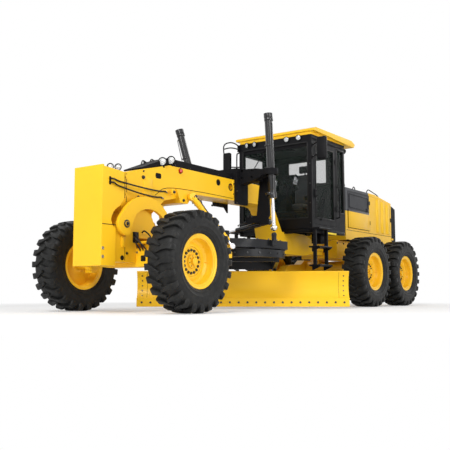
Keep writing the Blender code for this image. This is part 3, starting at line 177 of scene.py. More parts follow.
@dataclass(frozen=True)
class Recipe:
    """What every finish has: its name, its colour and the shade that it drifts to."""

    name: str
    colour: Colour
    shade: Colour

    def make(self) -> bpy.types.Material:
        """Build the material."""
        return self.mix(Graph(bpy.data.materials.new(self.name)))


@dataclass(frozen=True)
class Paint(Recipe):
    """Sprayed enamel or powder coat on steel: an even colour with a slight orange peel and worn edges."""

    gloss: float = 0.34
    coat: float = 0.06
    shine: float = 0.3
    peel: float = 0.0004
    edge: Colour | None = None

    def mix(self, graph: Graph) -> bpy.types.Material:
        """Join the nodes of the paint.

        Args:
            graph: The material's nodes.

        Returns:
            The finished material.
        """
        cloud = graph.spread(graph.noise(1.3), 0.35, 0.65, 0.0, 0.55)
        colour = self.masked(graph, graph.blend(cloud, self.colour, self.shade))
        if self.edge:
            bevel = graph.node("Bevel", {"Radius": 0.006}, samples=4).outputs["Normal"]
            normal = graph.node("NewGeometry", {}).outputs["Normal"]
            dot = graph.node("VectorMath", {0: bevel, 1: normal}, operation="DOT_PRODUCT")
            rim = graph.spread(dot.outputs["Value"], 0.97, 0.8, 0.0, 0.6)
            patchy = graph.spread(graph.noise(22.0), 0.45, 0.7)
            colour = graph.blend(graph.maths("MULTIPLY", rim, patchy), colour, self.edge)
        rough = graph.spread(graph.noise(9.0), 0.3, 0.7, self.gloss * 0.85, self.gloss * 1.2)
        sources = {"Base Color": colour, "Roughness": rough, "Specular IOR Level": self.shine}
        sources |= {"Coat Weight": self.coat, "Coat Roughness": 0.12}
        return graph.finish(sources, graph.noise(160.0, 1.0), self.peel)

    def masked(self, _: Graph, colour: Socket) -> Socket:
        """The colour with any mask over it, which plain paint has none of."""
        return colour


@dataclass(frozen=True)
class TwoTone(Paint):
    """Yellow enamel with the upper front of the engine housing masked off in dark paint."""

    dark: Colour = (0.045, 0.047, 0.054)
    behind: float = 0.0
    above: float = 0.0

    def masked(self, graph: Graph, colour: Socket) -> Socket:
        """Lay the dark paint over the colour.

        Args:
            graph: The material's nodes.
            colour: The colour underneath.

        Returns:
            The colour of both paints.
        """
        split = graph.node("SeparateXYZ", {0: graph.place}).outputs
        ahead = graph.maths("GREATER_THAN", split["X"], self.behind)
        over = graph.maths("GREATER_THAN", split["Z"], self.above)
        return graph.blend(graph.maths("MULTIPLY", ahead, over), colour, self.dark)


@dataclass(frozen=True)
class Rubber(Recipe):
    """Moulded tyre rubber or hose cover: near black, dull, faintly mottled."""

    roughness: float = 0.66
    grain: float = 0.0012
    shine: float = 0.12

    def mix(self, graph: Graph) -> bpy.types.Material:
        """Join the nodes of the rubber.

        Args:
            graph: The material's nodes.

        Returns:
            The finished material.
        """
        mottle = graph.spread(graph.noise(14.0, 4.0), 0.35, 0.7)
        rough = graph.spread(graph.noise(30.0), 0.3, 0.7, self.roughness - 0.1, self.roughness + 0.12)
        sources = {"Base Color": graph.blend(mottle, self.colour, self.shade), "Roughness": rough}
        sources["Specular IOR Level"] = self.shine
        return graph.finish(sources, graph.noise(90.0, 2.0), self.grain, 0.6)


@dataclass(frozen=True)
class Metal(Recipe):
    """Bare metal: ground steel, chrome or blackened bolts."""

    roughness: float = 0.34

    def mix(self, graph: Graph) -> bpy.types.Material:
        """Join the nodes of the metal.

        Args:
            graph: The material's nodes.

        Returns:
            The finished material.
        """
        lines = graph.noise(60.0, 2.0)
        colour = graph.blend(graph.spread(lines, 0.3, 0.7), self.colour, self.shade)
        rough = graph.spread(lines, 0.2, 0.8, self.roughness * 0.7, self.roughness * 1.4)
        return graph.finish({"Base Color": colour, "Roughness": rough, "Metallic": 1.0}, lines, 0.0003, 0.5)


@dataclass(frozen=True)
class Glass(Recipe):
    """Thin safety glass with a faint green tint and a trace of dust."""

    opacity: float = 0.15

    def mix(self, graph: Graph) -> bpy.types.Material:
        """Join the nodes of the glass.

        Args:
            graph: The material's nodes.

        Returns:
            The finished material.
        """
        dust = graph.spread(graph.noise(2.5, 4.0), 0.4, 0.7, 0.0, 0.5)
        rough = graph.spread(graph.noise(5.0), 0.3, 0.7, 0.02, 0.05)
        colour = graph.blend(dust, self.colour, self.shade)
        return graph.finish({"Base Color": colour, "Roughness": rough, "Alpha": self.opacity, "IOR": 1.45})


@dataclass(frozen=True)
class Lens(Recipe):
    """A ribbed clear lamp lens over a bright reflector."""

    cells: float = 55.0

    def mix(self, graph: Graph) -> bpy.types.Material:
        """Join the nodes of the lens.

        Args:
            graph: The material's nodes.

        Returns:
            The finished material.
        """
        cell = graph.node("TexVoronoi", {"Scale": self.cells, "Vector": graph.place})
        edge = graph.spread(cell.outputs["Distance"], 0.1, 0.6)
        rough = graph.spread(graph.noise(40.0), 0.3, 0.7, 0.05, 0.15)
        colour = graph.blend(edge, self.colour, self.shade)
        return graph.finish({"Base Color": colour, "Roughness": rough, "Coat Weight": 0.8}, edge, 0.004, 0.6)


@dataclass(frozen=True)
class Cloth(Recipe):
    """Woven seat cloth: crossed threads with a soft sheen."""

    threads: float = 260.0

    def mix(self, graph: Graph) -> bpy.types.Material:
        """Join the nodes of the cloth.

        Args:
            graph: The material's nodes.

        Returns:
            The finished material.
        """
        sources = {"Scale": self.threads, "Vector": graph.place}
        x, y, z = (
            graph.node("TexWave", sources, wave_type="BANDS", bands_direction=way).outputs["Fac"]
            for way in "XYZ"
        )
        height = graph.spread(graph.maths("ADD", graph.maths("ADD", x, y), z), 0.6, 2.4)
        colour = graph.blend(height, self.colour, self.shade)
        return graph.finish({"Base Color": colour, "Roughness": 0.85, "Sheen Weight": 0.3}, height, 0.0008)


class Finish(Enum):
    """Every finish on the machine, each with the recipe that makes its material."""

    BODY = Paint("body_yellow_enamel", (0.95, 0.555, 0.016), (0.9, 0.505, 0.012), edge=(0.98, 0.7, 0.12))
    BLADE = Paint(
        "blade_yellow_enamel", (0.96, 0.58, 0.018), (0.92, 0.54, 0.014), 0.36, edge=(0.98, 0.72, 0.16)
    )
    RIM = Paint("rim_yellow_enamel", (0.94, 0.55, 0.02), (0.9, 0.5, 0.016), 0.32, edge=(0.98, 0.68, 0.14))
    HOOD = TwoTone(
        "housing_two_tone_enamel", (0.95, 0.56, 0.018), (0.9, 0.52, 0.014), behind=-2.95, above=1.92
    )
    CAB = Paint(
        "cab_black_powder_coat", (0.004, 0.004, 0.005), (0.008, 0.008, 0.009), 0.4, 0.0, 0.13,
        edge=(0.06, 0.06, 0.065),
    )
    PANEL = Paint(
        "door_slate_enamel", (0.012, 0.013, 0.018), (0.018, 0.019, 0.025), 0.34, 0.05, 0.2,
        edge=(0.09, 0.09, 0.1),
    )
    COVER = Paint(
        "cover_black_matt", (0.005, 0.005, 0.006), (0.009, 0.009, 0.01), 0.6, 0.0, 0.1,
        edge=(0.04, 0.04, 0.045),
    )
    BARREL = Paint(
        "barrel_black_enamel", (0.008, 0.008, 0.009), (0.013, 0.013, 0.015), 0.22, 0.25, 0.4,
        edge=(0.08, 0.08, 0.085),
    )
    GEAR = Paint(
        "gear_charcoal_enamel", (0.008, 0.0085, 0.01), (0.014, 0.015, 0.017), 0.34, 0.05, 0.22,
        edge=(0.1, 0.1, 0.1),
    )
    GRILLE = Paint("grille_black_matt", (0.007, 0.007, 0.008), (0.012, 0.012, 0.013), 0.6, 0.0, 0.12)
    IRON = Paint("engine_grey_enamel", (0.03, 0.03, 0.032), (0.045, 0.044, 0.046), 0.5, 0.0, 0.2)
    SAFETY = Paint("tread_edge_yellow", (0.9, 0.66, 0.03), (0.82, 0.58, 0.03), 0.5)
    MARKER = Paint("marker_red_lens", (0.55, 0.012, 0.01), (0.4, 0.01, 0.008), 0.15, 0.6)
    TYRE = Rubber("lugged_tread_rubber", (0.006, 0.006, 0.006), (0.014, 0.014, 0.013), 0.52, shine=0.24)
    HOSE = Rubber("hose_rubber", (0.006, 0.006, 0.006), (0.012, 0.012, 0.012), 0.42, 0.0004, 0.25)
    PLASTIC = Rubber("console_moulding", (0.006, 0.006, 0.007), (0.011, 0.011, 0.012), 0.5, 0.0006)
    CHROME = Metal("polished_rod_steel", (0.8, 0.8, 0.82), (0.66, 0.66, 0.69), 0.12)
    STEEL = Metal("bright_steel", (0.52, 0.51, 0.5), (0.36, 0.35, 0.34))
    BOLT = Metal("blackened_bolts", (0.1, 0.1, 0.1), (0.05, 0.05, 0.05), 0.42)
    GLASS = Glass("tinted_safety_glass", (0.012, 0.024, 0.017), (0.0132, 0.0264, 0.0187))
    LENS = Lens("ribbed_lamp_lens", (0.82, 0.83, 0.8), (0.45, 0.46, 0.46))
    CLOTH = Cloth("woven_seat_cloth", (0.022, 0.022, 0.025), (0.05, 0.05, 0.055))

    def material(self) -> bpy.types.Material:
        """The finish's material, made on first use."""
        found = bpy.data.materials.get(self.value.name)
        return found or self.value.make()


SLOT_FINISHES: dict[str, Finish] = {
    "frame_yellow": Finish.BODY, "blade_yellow": Finish.BLADE, "rim_yellow": Finish.RIM,
    "strut_yellow": Finish.BODY, "hood_yellow": Finish.HOOD, "engine_door_black": Finish.PANEL,
    "cover_black": Finish.COVER, "cab_black": Finish.CAB, "grille_black": Finish.GRILLE,
    "cylinder_black": Finish.BARREL, "gear_grey": Finish.GEAR, "rod_chrome": Finish.CHROME,
    "engine_iron": Finish.IRON, "cab_glass": Finish.GLASS, "lamp_glass": Finish.LENS,
    "seat_fabric": Finish.CLOTH, "console_plastic": Finish.PLASTIC, "tyre_rubber": Finish.TYRE,
}


# ------------------------------------------------------------------ shapes
def stood(place: Point, direction: Point) -> Matrix:
    """The move that stands a shape drawn along +Z at a place, pointing along a direction."""
    return Matrix.Translation(place) @ Vector(direction).to_track_quat("Z", "Y").to_matrix().to_4x4()


def carried(shape: Shape, matrix: Matrix) -> Shape:
    """Move a shape."""
    bmesh.ops.transform(shape, matrix=matrix, verts=shape.verts)
    return shape


def eased(shape: Shape, width: float, degrees: float = 30.0, segments: int = 2) -> Shape:
    """Round the edges that turn by more than an angle.

    Args:
        shape: The shape to round.
        width: The bevel's width.
        degrees: The least turn that counts as an edge.
        segments: How many strips the round has.

    Returns:
        The same shape.
    """
    if width > 0:
        edges = [e for e in shape.edges if e.is_manifold and e.calc_face_angle(0) > math.radians(degrees)]
        bmesh.ops.bevel(
            shape, geom=edges, offset=width, affect="EDGES", segments=segments, profile=0.5, material=-1,
            clamp_overlap=True,
        )
    return shape


def block(low: Point, high: Point, ease: float = 0.004) -> Shape:
    """A box with softened edges.

    Args:
        low: Its lowest corner.
        high: Its highest corner.
        ease: How far the edges are rounded.

    Returns:
        The shape.
    """
    low, high = Vector(low), Vector(high)
    shape = bmesh.new()
    bmesh.ops.create_cube(shape, size=1)
    bmesh.ops.scale(shape, vec=high - low, verts=shape.verts)
    bmesh.ops.translate(shape, vec=(low + high) / 2, verts=shape.verts)
    return eased(shape, ease)


def bar(
    start: Point, end: Point, radius: float, tip: float | None = None, steps: int = 28, ease: float = 0.0
) -> Shape:
    """A round bar or cone between two points.

    Args:
        start: The middle of one end.
        end: The middle of the other.
        radius: The radius at the start.
        tip: The radius at the end, if it isn't the same.
        steps: How many sides it has.
        ease: How far its end edges are rounded.

    Returns:
        The shape.
    """
    start, end = Vector(start), Vector(end)
    run = end - start
    shape = bmesh.new()
    bmesh.ops.create_cone(
        shape, cap_ends=True, segments=steps, radius1=radius, radius2=radius if tip is None else tip,
        depth=run.length,
    )
    eased(shape, ease, 50.0)
    return carried(shape, stood((start + end) / 2, run))


def lathe(profile: Sequence[Pair], centre: Point = (0, 0, 0), axis: Point = UP, steps: int = 48) -> Shape:
    """A profile turned about an axis.

    Args:
        profile: Pairs of radius and distance along the axis, in order round the section.
        centre: The point on the axis where the distance is nought.
        axis: The axis.
        steps: How many sides it has.

    Returns:
        The shape.
    """
    shape = bmesh.new()
    corners = [shape.verts.new((radius, 0, along)) for radius, along in profile]
    edges = [shape.edges.new(pair) for pair in zip(corners, corners[1:])]
    if profile[0][0] > 0 and profile[-1][0] > 0:
        edges.append(shape.edges.new((corners[-1], corners[0])))
    bmesh.ops.spin(
        shape, geom=corners + edges, cent=(0, 0, 0), axis=(0, 0, 1), angle=math.tau, steps=steps,
        use_merge=True,
    )
    bmesh.ops.remove_doubles(shape, verts=shape.verts, dist=1e-5)
    bmesh.ops.recalc_face_normals(shape, faces=shape.faces)
    return carried(shape, stood(centre, axis))


def turned(profile: Sequence[Pair], centre: Point = (0, 0, 0), axis: Point = UP, steps: int = 48) -> Shape:
    """A profile in millimetres turned about an axis."""
    return lathe([(radius / 1000, along / 1000) for radius, along in profile], centre, axis, steps)


class Plane(Enum):
    """The plane in which a flat outline is drawn, with the turn that takes it there."""

    XY = Matrix.Identity(4)
    XZ = Matrix(((1, 0, 0, 0), (0, 0, 1, 0), (0, 1, 0, 0), (0, 0, 0, 1)))
    YZ = Matrix(((0, 0, 1, 0), (1, 0, 0, 0), (0, 1, 0, 0), (0, 0, 0, 1)))


def slab(
    outline: Sequence[Pair], low: float, high: float, plane: Plane = Plane.XZ, ease: float = 0.004
) -> Shape:
    """A flat outline with a thickness.

    Args:
        outline: The corners, in order.
        low: Where it starts along the third axis.
        high: Where it ends.
        plane: The plane that the outline lies in.
        ease: How far the edges are rounded.

    Returns:
        The shape.
    """
    shape = bmesh.new()
    face = shape.faces.new([shape.verts.new((u, v, low)) for u, v in outline])
    grown = bmesh.ops.extrude_face_region(shape, geom=[face])
    top = [v for v in grown["geom"] if isinstance(v, bmesh.types.BMVert)]
    bmesh.ops.translate(shape, vec=(0, 0, high - low), verts=top)
    carried(shape, plane.value)
    bmesh.ops.recalc_face_normals(shape, faces=shape.faces)
    return eased(shape, ease)


def arc(centre: Pair, radius: float, start: float, end: float, steps: int) -> list[Pair]:
    """Points along an arc."""
    angles = [math.radians(start + (end - start) * i / steps) for i in range(steps + 1)]
    return [(centre[0] + radius * math.cos(a), centre[1] + radius * math.sin(a)) for a in angles]


def bolt(place: Point, direction: Point, size: float) -> Shape:
    """A hexagon head on a washer.

    Args:
        place: The middle of the washer's underside.
        direction: Which way the head points.
        size: The head's width.

    Returns:
        The shape.
    """
    shape = bmesh.new()
    for sides, radius, low, high in (
        (12, size * 0.72, 0.0, size * 0.16), (6, size * 0.56, size * 0.12, size * 0.62)
    ):
        lift = Matrix.Translation((0, 0, (low + high) / 2))
        bmesh.ops.create_cone(
            shape, cap_ends=True, segments=sides, radius1=radius, radius2=radius * 0.96, depth=high - low,
            matrix=lift,
        )
    return carried(shape, stood(place, direction))


def tube(points: Sequence[Point], radius: float, sides: int = 10, round_off: int = 3) -> Shape:
    """A round tube along a smooth line through points.

    Args:
        points: The points that it passes through.
        radius: Its radius.
        sides: How many sides it has.
        round_off: How many points the line gets between each two.

    Returns:
        The shape.
    """
    line = smooth_line(points, round_off)
    run = (line[1] - line[0]).normalized()
    across_run = run.orthogonal().normalized()
    sections = []
    for index, middle in enumerate(line):
        ahead = (line[min(index + 1, len(line) - 1)] - line[max(index - 1, 0)]).normalized()
        across_run = run.rotation_difference(ahead) @ across_run
        run = ahead
        turns = [Matrix.Rotation(math.tau * side / sides, 3, run) for side in range(sides)]
        sections.append([middle + turn @ across_run * radius for turn in turns])
    return sweep(sections)


def smooth_line(points: Sequence[Point], between: int) -> list[Vector]:
    """A smooth line through points.

    Args:
        points: The points that it passes through.
        between: How many points are added between each two.

    Returns:
        The line's points.
    """
    marks = [Vector(p) for p in points]
    if between < 1 or len(marks) < 3:
        return marks
    ends = [marks[0] * 2 - marks[1], *marks, marks[-1] * 2 - marks[-2]]
    line = []
    for before, first, second, after in zip(ends, ends[1:], ends[2:], ends[3:]):
        for step in range(between + 1):
            t = step / (between + 1)
            line.append(
                0.5
                * (
                    first * 2
                    + (second - before) * t
                    + (before * 2 - first * 5 + second * 4 - after) * t * t
                    + (first * 3 - before - second * 3 + after) * t * t * t
                )
            )
    return [*line, marks[-1]]


def flipped(shape: Shape) -> Shape:
    """A copy of a shape on the other side of the machine.

    Args:
        shape: The shape.

    Returns:
        The mirrored copy.
    """
    copy = shape.copy()
    bmesh.ops.scale(copy, vec=(1, -1, 1), verts=copy.verts)
    bmesh.ops.reverse_faces(copy, faces=copy.faces)
    return copy


def both(*shapes: Shape) -> list[Shape]:
    """Shapes together with their mirrored copies."""
    return [side for shape in shapes for side in (shape, flipped(shape))]


def joined(shapes: Iterable[Shape]) -> Shape:
    """Shapes put together as one.

    Args:
        shapes: The shapes, which are used up.

    Returns:
        The whole.
    """
    whole = bmesh.new()
    for shape in shapes:
        mesh = bpy.data.meshes.new("part")
        shape.to_mesh(mesh)
        shape.free()
        whole.from_mesh(mesh)
        bpy.data.meshes.remove(mesh)
    return whole


def fit(
    name: str, shapes: Iterable[Shape], finish: Finish, slot: str = "", body: str = "front_frame",
    stands_for: Sequence[str] = (),
) -> bpy.types.Object:
    """Join shapes into one finished piece that rides on a body.

    Args:
        name: The piece's name.
        shapes: Its shapes.
        finish: Its finish.
        slot: The record's material slot, if it isn't the finish's own; it is not used.
        body: The body that carries it.
        stands_for: The frame's nodes that it replaces.

    Returns:
        The piece.
    """
    whole = joined(shapes)
    mesh = bpy.data.meshes.new(name)
    whole.to_mesh(mesh)
    whole.free()
    mesh.shade_smooth()
    mesh.set_sharp_from_angle(angle=math.radians(SMOOTH_DEGREES))
    piece = bpy.data.objects.new(name, mesh)
    bpy.context.scene.collection.objects.link(piece)
    piece.data.materials.append(finish.material())
    slot = slot or next(key for key, usual in SLOT_FINISHES.items() if usual is finish)
    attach(piece, body)
    if stands_for:
        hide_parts(*stands_for)
    LOG.info("%s: %d faces on %s", name, len(mesh.polygons), body)
    return piece


def sweep(sections: Sequence[Sequence[Point]]) -> Shape:
    """A closed form that passes through a row of sections, each with the same number of corners.

    Args:
        sections: The corners of each section, in step with each other.

    Returns:
        The shape.
    """
    shape = bmesh.new()
    face = shape.faces.new([shape.verts.new(corner) for corner in sections[0]])
    start = order = list(face.verts)
    for section in sections[1:]:
        at = {tuple(vert.co): number for number, vert in enumerate(order)}
        face = bmesh.ops.extrude_discrete_faces(shape, faces=[face])["faces"][0]
        order = sorted(face.verts, key=lambda vert: at[tuple(vert.co)])
        for vert, corner in zip(order, section):
            vert.co = corner
    shape.faces.new(list(reversed(start)))
    bmesh.ops.recalc_face_normals(shape, faces=shape.faces)
    return shape


def repeated(shape: Shape, matrices: Iterable[Matrix]) -> Shape:
    """Copies of a shape, joined.

    Args:
        shape: The shape, which is used up.
        matrices: Where each copy goes.

    Returns:
        All the copies as one shape.
    """
    copies = [carried(shape.copy(), matrix) for matrix in matrices]
    shape.free()
    return joined(copies)


def spun(shape: Shape, count: int, start: float = 0.0) -> Shape:
    """Copies of a shape set evenly round the Z axis."""
    return repeated(shape, [Matrix.Rotation(start + math.tau * i / count, 4, "Z") for i in range(count)])


def rounded(low: Pair, high: Pair, radius: float, steps: int = 5) -> list[Pair]:
    """The outline of a rectangle with round corners.

    Args:
        low: Its lowest corner.
        high: Its highest corner.
        radius: The corners' radius.
        steps: Points on each corner.

    Returns:
        The outline, anticlockwise.
    """
    (a, b), (c, d) = (low[0] + radius, low[1] + radius), (high[0] - radius, high[1] - radius)
    corners = (((c, d), 0), ((a, d), 90), ((a, b), 180), ((c, b), 270))
    return [point for centre, start in corners for point in arc(centre, radius, start, start + 90, steps)]


def border(low: Point, high: Point, width: float, axis: int, ease: float = 0.003) -> list[Shape]:
    """Four bars that frame an opening.

    Args:
        low: The frame's lowest corner.
        high: The frame's highest corner.
        width: The bars' width.
        axis: The axis that the opening faces.
        ease: The bars' edge rounding.

    Returns:
        The bars.
    """
    shapes = []
    for across_axis in [number for number in range(3) if number != axis]:
        for side in (0, 1):
            start, end = list(low), list(high)
            if side:
                start[across_axis] = high[across_axis] - width
            else:
                end[across_axis] = low[across_axis] + width
            shapes.append(block(start, end, ease))
    return shapes


# ------------------------------------------------------------------ studio
@dataclass
class Studio:
    """The camera, the lamps, the sky and the floor."""

    eye: Point = (10.61, 6.83, 0.27)
    heading: float = 36.55
    rise: float = 5.63
    lens: float = 54.93
    sky: float = 0.55
    plain_to: float = 5.5
    white_from: float = 8.5
    lift: float = 0.25
    lamps: tuple[tuple[Point, Point, float, float], ...] = (
        ((13.0, 3.5, 9.0), (1.0, 0.0, 1.2), 1120.0, 5.0), ((4.0, 14.0, 5.0), (0.0, 0.0, 0.8), 700.0, 7.0),
        ((-13.0, 2.0, 8.0), (-2.0, 0.0, 1.5), 320.0, 5.0),
    )

    def build(self) -> None:
        """Set up the whole studio."""
        self.camera()
        for number, (place, target, power, size) in enumerate(self.lamps):
            self.lamp(f"lamp_{number + 1}", place, target, power, size)
        self.backdrop()
        self.floor()
        bpy.context.scene.view_settings.view_transform = "Standard"

    def camera(self) -> None:
        """Place the camera low in front of the left wheel."""
        data = bpy.data.cameras.new("camera")
        data.lens, data.clip_end = self.lens, 200.0
        turn, up = math.radians(self.heading), math.radians(self.rise)
        gaze = Vector((-math.cos(turn) * math.cos(up), -math.sin(turn) * math.cos(up), math.sin(up)))
        bpy.context.scene.camera = self.stand(data, self.eye, gaze)

    @staticmethod
    def stand(data: bpy.types.Camera | bpy.types.Light, place: Point, gaze: Vector) -> bpy.types.Object:
        """Stand a camera or a lamp in the scene.

        Args:
            data: The camera or lamp.
            place: Where it stands.
            gaze: Which way it looks.

        Returns:
            The new object.
        """
        thing = bpy.data.objects.new(data.name, data)
        bpy.context.scene.collection.objects.link(thing)
        thing.location = place
        thing.rotation_euler = gaze.to_track_quat("-Z", "Y").to_euler()
        return thing

    def lamp(self, name: str, place: Point, target: Point, power: float, size: float) -> None:
        """Add a square soft lamp.

        Args:
            name: Its name.
            place: Where it stands.
            target: Where it points.
            power: Its power in watts.
            size: The length of its side.
        """
        data = bpy.data.lights.new(name, "AREA")
        data.energy, data.size = power, size
        self.stand(data, place, Vector(target) - Vector(place))

    def backdrop(self) -> None:
        """Make a plain sky that is white wherever it is seen, straight on or in a reflection."""
        world = bpy.data.worlds.new("studio_sky")
        graph = Graph(world)
        path = graph.node("LightPath", {}).outputs
        seen = path["Is Camera Ray"]
        for other in ("Is Glossy Ray", "Is Transmission Ray"):
            seen = graph.maths("MAXIMUM", seen, path[other])
        strength = graph.spread(seen, 0.0, 1.0, self.sky, 1.0)
        graph.feed(graph.tree.nodes["Background"], {"Color": (1, 1, 1, 1), "Strength": strength})
        bpy.context.scene.world = world

    def floor(self) -> None:
        """Lay a pale floor that takes the machine's shadow."""
        shape = bmesh.new()
        bmesh.ops.create_grid(shape, x_segments=8, y_segments=8, size=60.0)
        bmesh.ops.translate(shape, vec=(0, 0, -0.002), verts=shape.verts)
        mesh = bpy.data.meshes.new("studio_floor")
        shape.to_mesh(mesh)
        shape.free()
        floor = bpy.data.objects.new("studio_floor", mesh)
        bpy.context.scene.collection.objects.link(floor)
        graph = Graph(bpy.data.materials.new("floor_white"))
        tone = graph.blend(graph.spread(graph.noise(0.7), 0.3, 0.7), (0.93, 0.93, 0.93), (0.95, 0.95, 0.95))
        white = graph.finish({"Base Color": tone, "Roughness": 0.9, "Specular IOR Level": 0.1})
        self.white_where_seen(graph)
        floor.data.materials.append(white)

    def white_where_seen(self, graph: Graph) -> None:
        """Fade a floor into the white sky away from the machine, for rays that see it.

        Args:
            graph: The floor's material.
        """
        path = graph.node("LightPath", {}).outputs
        seen = graph.maths("MAXIMUM", path["Is Camera Ray"], path["Is Transmission Ray"])
        length = graph.node("VectorMath", {0: graph.place}, operation="LENGTH").outputs["Value"]
        far = graph.spread(length, self.plain_to, self.white_from, self.lift, 1.0)
        nodes = graph.tree.nodes
        shader, glow = nodes["Principled BSDF"].outputs[0], graph.node("Emission", {}).outputs[0]
        mixed = graph.node("MixShader", {0: graph.maths("MULTIPLY", seen, far), 1: shader, 2: glow})
        graph.feed(nodes["Material Output"], {"Surface": mixed.outputs[0]})


# ------------------------------------------------------------------ the frame's own nodes
@dataclass
class Castings:
    """The frame's nodes that stay in view: their edges are eased and each slot gets its finish."""

    ease: float = 0.006
    own: dict[str, Finish] = field(default_factory=lambda: {"lift_saddle": Finish.COVER})

    def build(self, frame: dict) -> None:
        """Dress every node of the frame.
        """
        merged = self.merging()
        slots = {row["node"]: row["material_slot"] for row in frame["record"]["subparts"]}
        for name, node in frame["nodes"].items():
            slot = slots[name]
            node.data.materials.clear()
            node.data.materials.append(self.own.get(name, SLOT_FINISHES[slot]).material())
            weld = node.modifiers.new("merged", "NODES")
            weld.node_group = merged
            bevel = node.modifiers.new("eased", "BEVEL")
            bevel.width = 0.002 if slot == "cab_glass" else self.ease
            bevel.segments = 2
            bevel.limit_method = "ANGLE"
            bevel.angle_limit = math.radians(36)
            node.modifiers.new("shaded", "WEIGHTED_NORMAL")
        LOG.info("dressed %d nodes of the frame", len(slots))

    def merging(self) -> bpy.types.NodeTree:
        """Nodes that merge a mesh's loose triangles and shade it smooth.

        Returns:
            The node group.
        """
        tree = bpy.data.node_groups.new("merged_faces", "GeometryNodeTree")
        tree.interface.new_socket("Geometry", in_out="INPUT", socket_type="NodeSocketGeometry")
        tree.interface.new_socket("Geometry", in_out="OUTPUT", socket_type="NodeSocketGeometry")
        start, end = tree.nodes.new("NodeGroupInput"), tree.nodes.new("NodeGroupOutput")
        plain = tree.nodes.new("GeometryNodeRemoveAttribute")
        plain.inputs["Name"].default_value = "custom_normal"
        merge = tree.nodes.new("GeometryNodeMergeByDistance")
        merge.inputs["Distance"].default_value = 1e-4
        smooth = tree.nodes.new("GeometryNodeSetShadeSmooth")
        chain = [start, plain, merge, smooth, end]
        for node, following in zip(chain, chain[1:]):
            tree.links.new(node.outputs[0], following.inputs[0])
        return tree


